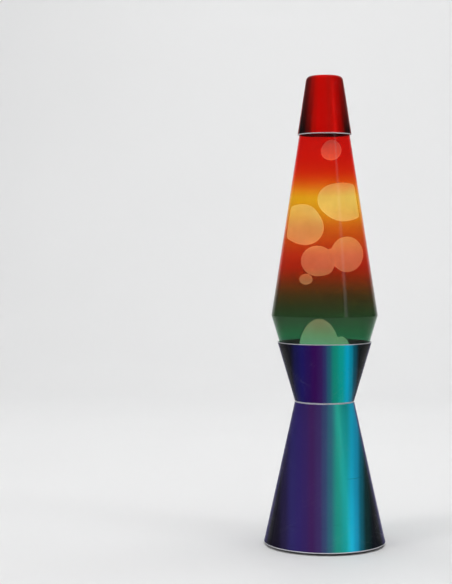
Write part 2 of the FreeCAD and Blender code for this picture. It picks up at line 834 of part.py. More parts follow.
bulb_pts_in = [
    (0.0, top_b - 0.9),
    (15.1, top_b - 2.6),
    (br - 0.9, top_b - 8.8),
    (br - 0.9, top_b - 14.2),
    (6.8, tip + 22.8),
    (6.8, tip + 19.2),
]
parts["bulb_glass"] = lathe(
    "bulb_glass",
    bulb_pts_out + bulb_pts_in,
    [
        (7.6, tip + 22.5, 4.0),
        (6.8, tip + 22.8, 4.6),
        (br, top_b - 14.5, 6.5),
        (br - 0.9, top_b - 14.2, 6.0),
        (br, top_b - 8.5, 3.2),
        (br - 0.9, top_b - 8.8, 2.6),
        (15.5, top_b - 1.7, 4.0),
        (15.1, top_b - 2.6, 3.4),
    ],
)
parts["bulb_stem"] = lathe(
    "bulb_stem",
    [(0.0, tip + 19.3), (6.6, tip + 19.3), (6.6, tip + 20.1), (2.8, tip + 23.5), (2.2, tip + 35.0), (0.0, tip + 35.0)],
    [(2.8, tip + 23.5, 3.0)],
)
wires = []
for s in (-1, 1):
    rise, reach = 12.5, 4.3
    length = math.hypot(rise, reach)
    turn = Rotation(Vector(0, 0, 1), Vector(s * reach, 0, rise))
    wires.append(cyl("support_wire", 0.35, length, s * 1.5, 0.0, tip + 35.3, turn))
parts["bulb_supports"] = group("bulb_supports", wires)
parts["bulb_filament"] = cyl("bulb_filament", 0.6, 12.6, -6.3, 0.0, tip + 48.8, Rotation(Vector(0, 1, 0), 90))
parts["bulb_filament"].Label = "bulb_filament"

# ---- bottle ---------------------------------------------------------------------------------

gw, low, sh = D["glass_wall"], D["bottle_low"], D["shoulder_high"]
th, fin = D["throat_high"], D["finish_high"]
parts["bottle_glass"] = lathe(
    "bottle_glass",
    [
        (0.0, low + 1.3),
        (19.3, low + 1.3),
        (21.3, low),
        (D["bottle_foot_rad"], low),
        (D["shoulder_rad"], sh),
        (D["throat_rad"], th),
        (D["neck_rad"], th + 8.5),
        (D["neck_rad"], fin - 7.5),
        (D["finish_rad"], fin - 6.6),
        (D["finish_rad"], fin - 0.8),
        (D["finish_rad"] - 0.8, fin),
        (D["mouth_rad"], fin),
        (D["mouth_rad"], th + 8.0),
        (high_in(th - 0.5), th - 0.5),
        (D["shoulder_rad"] - gw, sh),
        (low_in(D["inner_floor"]), D["inner_floor"]),
        (0.0, D["inner_floor"]),
    ],
    [
        (D["bottle_foot_rad"], low, 1.6),
        (D["shoulder_rad"], sh, 2.6),
        (D["shoulder_rad"] - gw, sh, 1.6),
        (D["throat_rad"], th, 6.0),
        (D["neck_rad"], th + 8.5, 4.0),
        (low_in(D["inner_floor"]), D["inner_floor"], 1.5),
    ],
)

crown = D["crown_high"]
crown_blank = lathe(
    "crown_cork_blank",
    [
        (0.0, crown),
        (12.7, crown),
        (13.9, crown - 1.3),
        (14.55, crown - 6.0),
        (13.5, crown - 6.0),
        (13.5, crown - 1.3),
        (12.9, crown - 0.3),
        (0.0, crown - 0.3),
    ],
    [(12.7, crown, 1.0)],
)
parts["crown_cork"] = cut(
    "crown_cork",
    crown_blank,
    [
        cyl("flute", 1.15, 6.0, *polar(D["finish_rad"] + 1.95, 360.0 * k / 21.0), crown - 6.5)
        for k in range(21)
    ],
)
parts["crown_liner"] = lathe(
    "crown_liner", [(0.0, fin), (12.3, fin), (12.3, crown - 0.3), (0.0, crown - 0.3)]
)

# ---- filling: wax, coil and liquid ----------------------------------------------------------

floor_in = D["inner_floor"] + D["fill_gap"]
gap = D["fill_gap"]
pool_top = D["inner_floor"] + 17.0
pool = lathe(
    "pool_blank",
    [
        (0.0, floor_in),
        (low_in(floor_in) - 1.6, floor_in),
        (low_in(floor_in + 1.8) - gap, floor_in + 1.8),
        (low_in(pool_top) - gap, pool_top),
        (26.5, pool_top + 3.2),
        (18.0, pool_top + 6.5),
        (0.0, pool_top + 9.0),
    ],
    [(26.5, pool_top + 3.2, 12.0)],
)
MOUND = [
    (17.0, 16.5, 27.0, -4.6, 0.0, 166.0),
    (9.2, 10.0, 19.3, 14.1, -3.0, 158.9),
]
coil_z = D["inner_floor"] + D["coil_rad"] + 0.15
groove = lathe(
    "groove_blank",
    [
        (D["coil_ring"] - D["coil_rad"] - 0.3, D["inner_floor"] - 1.0),
        (D["coil_ring"] + D["coil_rad"] + 0.3, D["inner_floor"] - 1.0),
        (D["coil_ring"] + D["coil_rad"] + 0.3, coil_z + D["coil_rad"] + 0.3),
        (D["coil_ring"] - D["coil_rad"] - 0.3, coil_z + D["coil_rad"] + 0.3),
    ],
    [
        (D["coil_ring"] + D["coil_rad"] + 0.3, coil_z + D["coil_rad"] + 0.3, 1.6),
        (D["coil_ring"] - D["coil_rad"] - 0.3, coil_z + D["coil_rad"] + 0.3, 1.6),
    ],
)
mound_body = fuse("mound_blank", [pool] + [blob("lobe", *m) for m in MOUND])
parts["wax_mound"] = cut("wax_mound", mound_body, [groove])

coil = doc.addObject("Part::Torus", "heating_coil")
bind(coil, "Radius1", D["coil_ring"])
bind(coil, "Radius2", D["coil_rad"])
at(coil, 0.0, 0.0, coil_z)
parts["heating_coil"] = coil

# Floating wax: half widths along x, y and z, then the centre.
BLOBS = {
    "wax_top": [(8.75, 8.75, 8.75, 5.6, 3.0, 337.5)],
    "wax_right": [(20.5, 15.0, 16.4, 15.0, -6.0, 293.0)],
    "wax_left": [(19.3, 15.0, 18.0, -19.3, 7.0, 273.7)],
    "wax_tiny": [(5.9, 5.6, 4.7, -15.7, -14.0, 227.5)],
}


def inside(label, item, z_low, z_high, gap_q):
    """Keeps a blob within the bottle's tapered wall, less a film of liquid."""
    limit = cone(
        label + "_limit", high_in(D["throat_high"] * 0.0 + z_low) - gap_q, high_in(D["throat_high"] * 0.0 + z_high) - gap_q, z_high - z_low, 0.0, 0.0, z_low
    )
    return common(label, item, limit)


hollows = []
for name, lobes in BLOBS.items():
    for grown in (False, True):
        whole = blob(name + "_lobe", *lobes[0], grow=D["film"] if grown else 0.0)
        if name in ("wax_left", "wax_right"):
            low_z, high_z = min(b[5] - b[2] for b in lobes) - 4.0, max(b[5] + b[2] for b in lobes) + 4.0
            if grown:
                whole = inside(name + "_room", whole, low_z, high_z, D["wax_gap"] - D["film"])
            else:
                whole = inside(name, whole, low_z, high_z, D["wax_gap"])
        if grown:
            hollows.append(whole)
        else:
            whole.Label = name
            parts[name] = whole

PAIR_AT = (-6.3, -1.0, 242.6)
for name, extra in (("wax_pair", 0.0), ("wax_pair_room", D["film"])):
    whole = peanut(
        name, D["pair_left"] + extra, D["pair_right"] + extra, D["pair_neck"] - extra, D["pair_apart"], *PAIR_AT, 11.9
    )
    if name == "wax_pair":
        parts[name] = whole
    else:
        hollows.append(whole)

liquid_blank = lathe(
    "liquid_blank",
    [
        (0.0, floor_in),
        (low_in(floor_in) - 1.6, floor_in),
        (low_in(floor_in + 1.8) - gap, floor_in + 1.8),
        (D["shoulder_rad"] - gw - 0.25, sh),
        (high_in(D["fill_high"]) - gap, D["fill_high"]),
        (0.0, D["fill_high"]),
    ],
    [(D["shoulder_rad"] - gw - 0.25, sh, 1.6)],
)
mound_room = fuse(
    "mound_room",
    [
        lathe(
            "pool_room",
            [
                (0.0, D["inner_floor"] - 1.0),
                (low_in(D["inner_floor"]) + 1.0, D["inner_floor"] - 1.0),
                (low_in(pool_top) + 1.0, pool_top + 0.1),
                (low_in(pool_top) - gap, pool_top + 0.1),
                (26.5, pool_top + 3.3),
                (18.0, pool_top + 6.6),
                (0.0, pool_top + 9.1),
            ],
            [(26.5, pool_top + 3.3, 12.0)],
        )
    ]
    + [blob("lobe_room", *m, grow=0.1) for m in MOUND],
)
parts["liquid"] = cut("liquid", liquid_blank, [mound_room] + hollows)

# ---- cap ------------------------------------------------------------------------------------

cl, ct, cc = D["cap_low"], D["total_height"], D["cap_corner"]
parts["cap_shell"] = lathe(
    "cap_shell",
    [
        (D["cap_rad"], cl),
        (D["cap_top_rad"], ct),
        (0.0, ct),
        (0.0, ct - 1.0),
        (cap_in(ct - 1.0), ct - 1.0),
        (D["cap_rad"] - wall, cl),
    ],
    [
        (D["cap_rad"], cl, 0.45),
        (D["cap_rad"] - wall, cl, 0.3),
        (D["cap_top_rad"], ct, cc),
        (cap_in(ct - 1.0), ct - 1.0, cc - 1.0),
    ],
)
parts["cap_pad"] = lathe(
    "cap_pad",
    [(0.0, crown), (D["pad_rad"], crown), (D["pad_rad"], ct - 1.0), (0.0, ct - 1.0)],
)

# ---- check and write ------------------------------------------------------------------------

doc.recompute()
for o in doc.Objects:
    bad = [s for s in o.State if s in ("Invalid", "Error")]
    if bad:
        raise RuntimeError("%s is %s" % (o.Name, bad))
os.makedirs("parts", exist_ok=True)
for name, o in parts.items():
    shape = o.Shape
    if shape.isNull() or not shape.isValid():
        raise RuntimeError("%s has no valid shape" % name)
    if not shape.Solids:
        raise RuntimeError("%s has no solid" % name)
    shape.exportStep("parts/%s.step" % name)
print("wrote", len(parts), "pieces")
for name, o in parts.items():
    b = o.Shape.BoundBox
    print("%-18s %2d solids  vol %10.1f  x %7.2f %7.2f  y %7.2f %7.2f  z %7.2f %7.2f" % (name, len(o.Shape.Solids), o.Shape.Volume, b.XMin, b.XMax, b.YMin, b.YMax, b.ZMin, b.ZMax))
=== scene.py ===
import math

import bmesh
import bpy
import numpy as np
from mathutils import Matrix, Vector, noise


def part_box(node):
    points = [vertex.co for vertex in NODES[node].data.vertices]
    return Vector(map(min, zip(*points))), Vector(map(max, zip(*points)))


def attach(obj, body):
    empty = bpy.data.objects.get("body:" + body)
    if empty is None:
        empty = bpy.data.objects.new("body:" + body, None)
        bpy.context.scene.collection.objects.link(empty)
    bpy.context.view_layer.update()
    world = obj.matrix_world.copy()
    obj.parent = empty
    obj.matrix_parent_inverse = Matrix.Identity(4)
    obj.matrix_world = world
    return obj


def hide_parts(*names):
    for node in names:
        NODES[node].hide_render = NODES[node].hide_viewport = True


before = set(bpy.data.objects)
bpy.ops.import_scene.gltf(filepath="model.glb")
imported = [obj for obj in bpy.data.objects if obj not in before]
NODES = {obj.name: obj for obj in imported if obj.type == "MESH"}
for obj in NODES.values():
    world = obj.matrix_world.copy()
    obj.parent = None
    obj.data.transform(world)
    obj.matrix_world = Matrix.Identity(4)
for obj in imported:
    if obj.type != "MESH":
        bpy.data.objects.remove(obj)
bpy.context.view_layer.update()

MM = 0.001

# The lamp's own outline, in metres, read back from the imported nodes.
FOOT_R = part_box("foot_cone")[1].x
FOOT_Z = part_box("foot_cone")[0].z
WAIST_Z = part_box("foot_cone")[1].z
LIP_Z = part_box("cup_cone")[1].z
CAP_Z0, CAP_Z1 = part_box("cap_shell")[0].z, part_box("cap_shell")[1].z


# ---------------------------------------------------------------- node helpers


class Tree:
    """A material's node tree, with short calls for the nodes used over and over."""

    def __init__(self, name):
        self.mat = bpy.data.materials.new(name)
        self.mat.use_nodes = True
        self.t = self.mat.node_tree
        self.t.nodes.clear()
        self.out = self.t.nodes.new("ShaderNodeOutputMaterial")
        self.coord = self.t.nodes.new("ShaderNodeTexCoord").outputs["Object"]

    def node(self, kind, **settings):
        n = self.t.nodes.new(kind)
        for k, v in settings.items():
            setattr(n, k, v)
        return n

    def put(self, socket, value):
        if isinstance(value, bpy.types.NodeSocket):
            self.t.links.new(value, socket)
        elif value is not None:
            socket.default_value = value

    def math(self, op, a, b=None, c=None, clamp=False):
        n = self.node("ShaderNodeMath", operation=op, use_clamp=clamp)
        for i, v in enumerate((a, b, c)):
            if v is not None:
                self.put(n.inputs[i], v)
        return n.outputs[0]

    def split(self, vec=None):
        n = self.node("ShaderNodeSeparateXYZ")
        self.put(n.inputs[0], vec or self.coord)
        return n.outputs

    def join(self, x, y, z):
        n = self.node("ShaderNodeCombineXYZ")
        for i, v in enumerate((x, y, z)):
            self.put(n.inputs[i], v)
        return n.outputs[0]

    def stretch(self, sx, sy, sz, vec=None):
        n = self.node("ShaderNodeVectorMath", operation="MULTIPLY")
        self.put(n.inputs[0], vec or self.coord)
        n.inputs[1].default_value = (sx, sy, sz)
        return n.outputs[0]

    def noise(self, vec, scale=1.0, detail=3.0, rough=0.5, out="Fac"):
        n = self.node("ShaderNodeTexNoise")
        self.put(n.inputs["Vector"], vec)
        n.inputs["Scale"].default_value = scale
        n.inputs["Detail"].default_value = detail
        n.inputs["Roughness"].default_value = rough
        return n.outputs[out]

    def ramp(self, fac, stops, interpolation="LINEAR"):
        n = self.node("ShaderNodeValToRGB")
        n.color_ramp.interpolation = interpolation
        e = n.color_ramp.elements
        while len(e) > 1:
            e.remove(e[0])
        e[0].position, e[0].color = stops[0][0], rgba(stops[0][1])
        for pos, col in stops[1:]:
            k = e.new(pos)
            k.color = rgba(col)
        self.put(n.inputs[0], fac)
        return n.outputs["Color"]

    def mix(self, fac, a, b, blend="MIX"):
        n = self.node("ShaderNodeMix", data_type="RGBA", blend_type=blend)
        self.put(n.inputs["Factor"], fac)
        self.put(n.inputs[6], rgba(a) if isinstance(a, (tuple, list)) else a)
        self.put(n.inputs[7], rgba(b) if isinstance(b, (tuple, list)) else b)
        return n.outputs[2]

    def range(self, v, a, b, c=0.0, d=1.0, smooth=False):
        n = self.node("ShaderNodeMapRange", clamp=True)
        n.interpolation_type = "SMOOTHSTEP" if smooth else "LINEAR"
        self.put(n.inputs[0], v)
        for i, q in enumerate((a, b, c, d), 1):
            n.inputs[i].default_value = q
        return n.outputs[0]

    def bump(self, height, strength=0.2, distance=0.0005, normal=None):
        n = self.node("ShaderNodeBump")
        n.inputs["Strength"].default_value = strength
        n.inputs["Distance"].default_value = distance
        self.put(n.inputs["Height"], height)
        if normal is not None:
            self.put(n.inputs["Normal"], normal)
        return n.outputs[0]

    def sheen(self, normal, straight_on):
        """How much a smooth clear surface reflects: little straight on, most at a glance."""
        lw = self.node("ShaderNodeLayerWeight")
        lw.inputs["Blend"].default_value = 0.5
        if normal is not None:
            self.put(lw.inputs["Normal"], normal)
        glance = self.math("POWER", lw.outputs["Facing"], 7.0)
        return self.math("MULTIPLY_ADD", glance, 0.85 - straight_on, straight_on)

    def principled(self, **sockets):
        n = self.node("ShaderNodeBsdfPrincipled")
        for k, v in sockets.items():
            name = k.replace("_", " ")
            s = n.inputs[name]
            if isinstance(v, (tuple, list)) and len(v) == 3 and s.type == "RGBA":
                v = rgba(v)
            self.put(s, v)
        self.t.links.new(n.outputs[0], self.out.inputs[0])
        return n


def rgba(c):
    return (c[0], c[1], c[2], c[3] if len(c) > 3 else 1.0)


def lin(r, g, b):
    """A colour given as 0 to 255 on the screen, as linear light."""
    def one(v):
        v /= 255.0
        return v / 12.92 if v <= 0.04045 else ((v + 0.055) / 1.055) ** 2.4
    return (one(r), one(g), one(b))


# ---------------------------------------------------------------- mesh helpers


def new_object(name, bm_or_mesh, smooth=True):
    if isinstance(bm_or_mesh, bmesh.types.BMesh):
        mesh = bpy.data.meshes.new(name)
        bmesh.ops.recalc_face_normals(bm_or_mesh, faces=bm_or_mesh.faces)
        bm_or_mesh.to_mesh(mesh)
        bm_or_mesh.free()
    else:
        mesh = bm_or_mesh
    obj = bpy.data.objects.new(name, mesh)
    bpy.context.scene.collection.objects.link(obj)
    if smooth:
        mesh.polygons.foreach_set("use_smooth", [True] * len(mesh.polygons))
    return obj


def crisp(mesh, degrees=32.0):
    """Marks the edges sharper than that, so the rest shade smoothly."""
    bm = bmesh.new()
    bm.from_mesh(mesh)
    limit = math.radians(degrees)
    for e in bm.edges:
        e.smooth = not (len(e.link_faces) == 2 and e.calc_face_angle(0.0) > limit)
    bm.to_mesh(mesh)
    bm.free()


def arc(cx, cz, r, a0, a1, n=6):
    return [(cx + r * math.cos(math.radians(a0 + (a1 - a0) * i / n)), cz + r * math.sin(math.radians(a0 + (a1 - a0) * i / n))) for i in range(n + 1)]


def rounded(points, radii, n=5):
    """A closed outline of (r, z) in millimetres with its corners rounded. radii: index to radius."""
    out, count = [], len(points)
    for i, p in enumerate(points):
        r = radii.get(i, 0.0)
        if not r:
            out.append(p)
            continue
        a, b = Vector(points[i - 1]), Vector(points[(i + 1) % count])
        c = Vector(p)
        u, v = (a - c), (b - c)
        lu, lv = u.length, v.length
        u.normalize(), v.normalize()
        half = math.acos(max(-1.0, min(1.0, u.dot(v)))) / 2.0
        t = min(r / math.tan(half), lu * 0.48, lv * 0.48)
        r = t * math.tan(half)
        centre = c + (u + v).normalized() * (r / math.sin(half))
        s, e = c + u * t - centre, c + v * t - centre
        a0 = math.atan2(s.y, s.x)
        turn = math.atan2(s.x * e.y - s.y * e.x, s.dot(e))
        for k in range(n + 1):
            a = a0 + turn * k / n
            out.append((centre.x + r * math.cos(a), centre.y + r * math.sin(a)))
    return out


def resample(points, step, closed=True):
    """Adds points so that no run of the outline is longer than step."""
    out, n = [], len(points)
    for i in range(n if closed else n - 1):
        a, b = points[i], points[(i + 1) % n]
        k = max(1, int(math.ceil(math.dist(a, b) / step)))
        for j in range(k):
            f = j / k
            out.append((a[0] + (b[0] - a[0]) * f, a[1] + (b[1] - a[1]) * f))
    if not closed:
        out.append(points[-1])
    return out


def lathe(name, outline, body, seg=160, step=6.0, cuts=(), closed=True, crisp_at=32.0):
    """Turns a closed (r, z) outline in millimetres about the lamp's axis."""
    pts = resample(outline, step, closed)
    bm = bmesh.new()
    rings = []
    for r, z in pts:
        if r < 1e-6:
            rings.append([bm.verts.new((0.0, 0.0, z * MM))])
        else:
            rings.append(
                [bm.verts.new((r * MM * math.cos(2 * math.pi * k / seg), r * MM * math.sin(2 * math.pi * k / seg), z * MM)) for k in range(seg)]
            )
    n = len(rings)
    for i in range(n if closed else n - 1):
        a, b = rings[i], rings[(i + 1) % n]
        if len(a) == 1 and len(b) == 1:
            continue
        for k in range(seg):
            k2 = (k + 1) % seg
            if len(a) == 1:
                bm.faces.new((a[0], b[k], b[k2]))
            elif len(b) == 1:
                bm.faces.new((a[k], b[0], a[k2]))
            else:
                bm.faces.new((a[k], b[k], b[k2], a[k2]))
    obj = new_object(name, bm)
    crisp(obj.data, crisp_at)
    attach(obj, body)
    return obj


def paint(obj, tree):
    obj.data.materials.clear()
    obj.data.materials.append(tree.mat if isinstance(tree, Tree) else tree)


def dress(node, tree):
    """Gives a CAD node its material."""
    o = NODES[node]
    m = tree.mat if isinstance(tree, Tree) else tree
    if len(o.data.materials):
        for i in range(len(o.data.materials)):
            o.data.materials[i] = m
    else:
        o.data.materials.append(m)


# ---------------------------------------------------------------- the lamp's lines, in millimetres

FOOT_SLOPE = (52.0 - 25.25) / 121.0
CUP_SLOPE = (40.25 - 25.25) / 51.0
LOW_SLOPE = (45.35 - 26.98) / 61.5
HIGH_SLOPE = (45.35 - 19.67) / 165.5
CAP_SLOPE = (23.0 - 15.25) / 50.0
WALL, GLASS = 1.03, 2.2
FOOT_GAIN, CUP_GAIN, CAP_GAIN = 1.75, 1.4, 2.05


def foot_r(z):
    return 52.0 - FOOT_SLOPE * (z - 2.0)


def cup_r(z):
    return 25.25 + CUP_SLOPE * (z - 123.0)


def low_r(z):
    return 26.98 + LOW_SLOPE * (z - 135.0)


def high_r(z):
    return 19.67 + HIGH_SLOPE * (362.0 - z)


def glass_r(z):
    return low_r(z) if z < 196.5 else high_r(z)


def cap_r(z):
    return 23.0 - CAP_SLOPE * (z - 350.0)


# ---------------------------------------------------------------- materials


def hairlines(t, turn, length=38.0, width=5200.0, cut=(0.70, 0.75)):
    """Fine handling scratches that run one way across a part; turn is their lean in degrees."""
    c, sn = math.cos(math.radians(turn)), math.sin(math.radians(turn))
    x, y, z = t.split()
    round_it = t.math("MULTIPLY", t.math("ARCTAN2", x, y), 0.032)
    along = t.math("ADD", t.math("MULTIPLY", round_it, c), t.math("MULTIPLY", z, sn))
    over = t.math("SUBTRACT", t.math("MULTIPLY", z, c), t.math("MULTIPLY", round_it, sn))
    n = t.noise(t.join(t.math("MULTIPLY", along, length), t.math("MULTIPLY", over, width), 0.37 * turn), 1.0, 1.0, 0.4)
    patch = t.range(t.noise(t.stretch(38.0, 38.0, 38.0), 1.0, 2.0, 0.5), 0.50, 0.66)
    return t.math("MULTIPLY", t.range(n, *cut), patch)


def handled(t, colour, rough, height):
    """Scratches, settled dust and the smudges of fingers over a gloss: colour, roughness and height with them in."""
    scratch = t.math("MAXIMUM", hairlines(t, 24.0), t.math("MAXIMUM", hairlines(t, -37.0), hairlines(t, 71.0)))
    dust = t.range(t.noise(t.coord, 2900.0, 2.0, 0.5), 0.70, 0.76)
    smudge = t.range(t.noise(t.stretch(75.0, 75.0, 60.0), 1.0, 5.0, 0.65), 0.52, 0.70)
    colour = t.mix(t.math("MULTIPLY", scratch, 0.20), colour, lin(168, 170, 182))
    colour = t.mix(t.math("MULTIPLY", dust, 0.35), colour, lin(196, 192, 184))
    rough = t.math("ADD", rough, t.math("ADD", t.math("MULTIPLY", smudge, 0.10), t.math("MULTIPLY", dust, 0.30)), clamp=True)
    height = t.math("ADD", height, t.math("SUBTRACT", t.math("MULTIPLY", dust, 0.5), t.math("MULTIPLY", scratch, 0.45)))
    return colour, rough, height


def spun_height(t):
    """Fine turned lines round a spun shell, with slow waviness."""
    fine = t.noise(t.stretch(14.0, 14.0, 2600.0), 1.0, 2.0, 0.6)
    broad = t.noise(t.stretch(30.0, 30.0, 260.0), 1.0, 2.0, 0.5)
    return t.math("ADD", t.math("MULTIPLY", fine, 0.7), t.math("MULTIPLY", broad, 0.3))


def edge_mask(t, heights, half):
    """1 within half a band of any of these heights, a little ragged."""
    z = t.split()[2]
    rag = t.noise(t.stretch(260.0, 260.0, 90.0), 1.0, 3.0, 0.6)
    z = t.math("ADD", z, t.math("MULTIPLY", t.math("SUBTRACT", rag, 0.5), half * 0.4))
    total = None
    for h in heights:
        d = t.math("ABSOLUTE", t.math("SUBTRACT", z, h))
        m = t.range(d, half * 0.6, half, 1.0, 0.0, smooth=True)
        total = m if total is None else t.math("MAXIMUM", total, m)
    return total


def flank(t, x, y):
    """1 down the two sides of a turned part, where neither the front nor the back looks."""
    rho = t.math("SQRT", t.math("ADD", t.math("MULTIPLY", x, x), t.math("MULTIPLY", y, y)))
    return t.range(t.math("DIVIDE", t.math("ABSOLUTE", x), t.math("MAXIMUM", rho, 0.001)), 0.93, 0.99, smooth=True)


def bands(rows, gain=1.0):
    """Stops of a ramp over x from -52 to 52 mm."""
    return [((mm + 52.0) / 104.0, tuple(min(1.0, v * gain) for v in lin(*c))) for mm, c in rows]


# Foot bands over x in mm: partly lacquer colour and partly painted reflection; the near-black ends are painted shade
# down the two sides.
FOOT_BANDS_AND_SHADE = [
    (-46, (22, 20, 34)),
    (-40, (29, 25, 42)),
    (-34, (43, 36, 70)),
    (-27, (52, 45, 104)),
    (-21, (54, 41, 104)),
    (-17, (58, 40, 100)),
    (-11, (68, 38, 94)),
    (-4.5, (68, 52, 104)),
    (0, (62, 76, 116)),
    (4.5, (54, 106, 126)),
    (11, (38, 150, 134)),
    (17.5, (28, 152, 148)),
    (23, (30, 168, 196)),
    (27, (30, 148, 182)),
    (31, (26, 96, 112)),
    (35, (22, 52, 52)),
    (42, (18, 22, 30)),
]
# Cup bands over x in mm: partly lacquer colour and partly painted reflection; the near-black ends are painted shade
# down the two sides.
CUP_BANDS_AND_SHADE = [
    (-36, (8, 7, 14)),
    (-29, (12, 10, 28)),
    (-24, (20, 19, 70)),
    (-19, (26, 19, 84)),
    (-14, (36, 15, 77)),
    (-8.5, (48, 10, 74)),
    (-3.4, (50, 24, 80)),
    (0, (45, 46, 94)),
    (3.4, (34, 82, 104)),
    (8.5, (16, 128, 110)),
    (14, (8, 146, 136)),
    (19, (5, 152, 180)),
    (22, (5, 128, 152)),
    (25, (5, 76, 92)),
    (29, (6, 20, 22)),
    (36, (6, 8, 12)),
]


def shaded_base_lacquer():
    """Colour-shifting lacquer on spun metal: indigo, violet, teal and cyan bands down the cones, partly lacquer colour
    and partly painted reflection, with painted shade taking them nearly to black towards both sides.
    """
    t = Tree("colour_shift_lacquer_painted_shade")
    x, y, z = t.split()
    drift = t.noise(t.stretch(22.0, 22.0, 9.0), 1.0, 2.0, 0.5)
    xs = t.math("ADD", x, t.math("MULTIPLY", t.math("SUBTRACT", drift, 0.5), 0.0016))
    u = t.range(xs, -0.052, 0.052)
    colour = t.mix(
        t.range(z, WAIST_Z - 0.0002, WAIST_Z + 0.0002), t.ramp(u, bands(FOOT_BANDS_AND_SHADE, FOOT_GAIN), "EASE"), t.ramp(u, bands(CUP_BANDS_AND_SHADE, CUP_GAIN), "EASE")
    )
    # the row of bands begins again in indigo on the flanks
    again = t.mix(t.range(z, WAIST_Z - 0.0002, WAIST_Z + 0.0002), tuple(v * FOOT_GAIN for v in lin(50, 42, 108)), tuple(v * CUP_GAIN for v in lin(38, 26, 92)))
    colour = t.mix(t.math("MULTIPLY", flank(t, x, y), 0.9), colour, again)
    # slow clouding in the lacquer
    cloud = t.noise(t.stretch(45.0, 45.0, 20.0), 1.0, 4.0, 0.55)
    colour = t.mix(t.math("MULTIPLY", cloud, 0.22), colour, t.mix(1.0, colour, (0.55, 0.6, 0.75), "MULTIPLY"))
    bare = edge_mask(t, (FOOT_Z + 0.0003, WAIST_Z, LIP_Z), 0.00075)
    colour = t.mix(bare, colour, lin(226, 226, 232))
    # the lacquer is on the outside only; within, the spun metal is bare
    rho = t.math("SQRT", t.math("ADD", t.math("MULTIPLY", x, x), t.math("MULTIPLY", y, y)))
    foot_line = t.math("SUBTRACT", (52.0 + 2.0 * FOOT_SLOPE) * MM, t.math("MULTIPLY", z, FOOT_SLOPE))
    cup_line = t.math("ADD", (25.25 - 123.0 * CUP_SLOPE) * MM, t.math("MULTIPLY", z, CUP_SLOPE))
    skin = t.math("SUBTRACT", rho, t.math("MAXIMUM", foot_line, cup_line))
    colour = t.mix(t.range(skin, -0.0008, -0.0004, 1.0, 0.0), colour, t.ramp(cloud, [(0.3, lin(196, 196, 200)), (0.7, lin(222, 222, 226))]))
    rough = t.range(t.noise(t.stretch(14.0, 14.0, 1400.0), 1.0, 2.0, 0.6), 0.2, 0.8, 0.26, 0.42)
    colour, rough, height = handled(t, colour, rough, spun_height(t))
    t.principled(
        Base_Color=colour, Metallic=0.6, Roughness=rough, Normal=t.bump(height, 0.30, 0.0002), Specular_IOR_Level=0.15,
        Specular_Tint=(0.08, 0.08, 0.11), Coat_Weight=0.06, Coat_Roughness=0.12, Coat_IOR=1.35,
    )
    return t


def cap_lacquer():
    """Red metallic lacquer, shaded nearly to black down its two sides."""
    t = Tree("red_metallic_lacquer_shaded")
    x, y, z = t.split()
    cloud = t.noise(t.stretch(60.0, 60.0, 26.0), 1.0, 4.0, 0.55)
    # how far across the cap, as a share of its radius at this height
    radius = t.math("SUBTRACT", 0.023 + CAP_SLOPE * 0.350, t.math("MULTIPLY", z, CAP_SLOPE))
    across = t.math("DIVIDE", x, radius)
    across = t.math("ADD", across, t.math("MULTIPLY", t.math("SUBTRACT", cloud, 0.5), 0.06))
    # painted shade: the red falls nearly to black towards both sides, and more so low down by the rim
    top_row = [(-1.0, (52, 8, 7)), (-0.8, (100, 16, 12)), (-0.6, (156, 15, 11)), (-0.4, (180, 12, 5)), (-0.2, (196, 9, 5)), (0.0, (190, 12, 7)),
               (0.2, (178, 16, 9)), (0.4, (176, 11, 6)), (0.6, (172, 8, 5)), (0.8, (152, 11, 6)), (1.0, (96, 8, 5))]
    low_row = [(-1.0, (8, 4, 4)), (-0.8, (18, 7, 7)), (-0.6, (82, 13, 10)), (-0.4, (166, 12, 6)), (-0.2, (194, 9, 5)), (0.0, (190, 12, 7)),
               (0.2, (178, 16, 10)), (0.4, (176, 10, 5)), (0.6, (150, 6, 3)), (0.8, (46, 7, 4)), (1.0, (10, 4, 4))]
    u = t.range(across, -1.0, 1.0)
    ramp = lambda rows: t.ramp(u, [((f + 1.0) / 2.0, tuple(v * CAP_GAIN for v in lin(*c))) for f, c in rows], "EASE")
    colour = t.mix(t.range(z, CAP_Z0 + 0.004, CAP_Z1 - 0.004), ramp(low_row), ramp(top_row))
    colour = t.mix(t.math("MULTIPLY", flank(t, x, y), 0.8), colour, tuple(v * CAP_GAIN for v in lin(158, 10, 6)))
    flake = t.noise(t.coord, 5200.0, 1.0, 0.5)
    colour = t.mix(t.range(flake, 0.6, 0.8, 0.0, 0.12), colour, lin(226, 60, 44))
    bare = edge_mask(t, (CAP_Z0 + 0.0002,), 0.0007)
    colour = t.mix(bare, colour, lin(226, 224, 226))
    rho = t.math("SQRT", t.math("ADD", t.math("MULTIPLY", x, x), t.math("MULTIPLY", y, y)))
    inner = t.math("MULTIPLY", t.range(t.math("SUBTRACT", rho, radius), -0.0008, -0.0004, 1.0, 0.0), t.range(z, CAP_Z1 - 0.0052, CAP_Z1 - 0.0048, 1.0, 0.0))
    colour = t.mix(inner, colour, t.ramp(cloud, [(0.3, lin(196, 196, 200)), (0.7, lin(222, 222, 226))]))
    colour, rough, height = handled(t, colour, t.range(cloud, 0.3, 0.7, 0.28, 0.38), spun_height(t))
    t.principled(
        Base_Color=colour, Metallic=0.6, Roughness=rough, Normal=t.bump(height, 0.25, 0.0002),
        Specular_IOR_Level=0.2, Specular_Tint=(0.25, 0.2, 0.2), Coat_Weight=0.10, Coat_Roughness=0.10, Coat_IOR=1.35,
    )
    return t


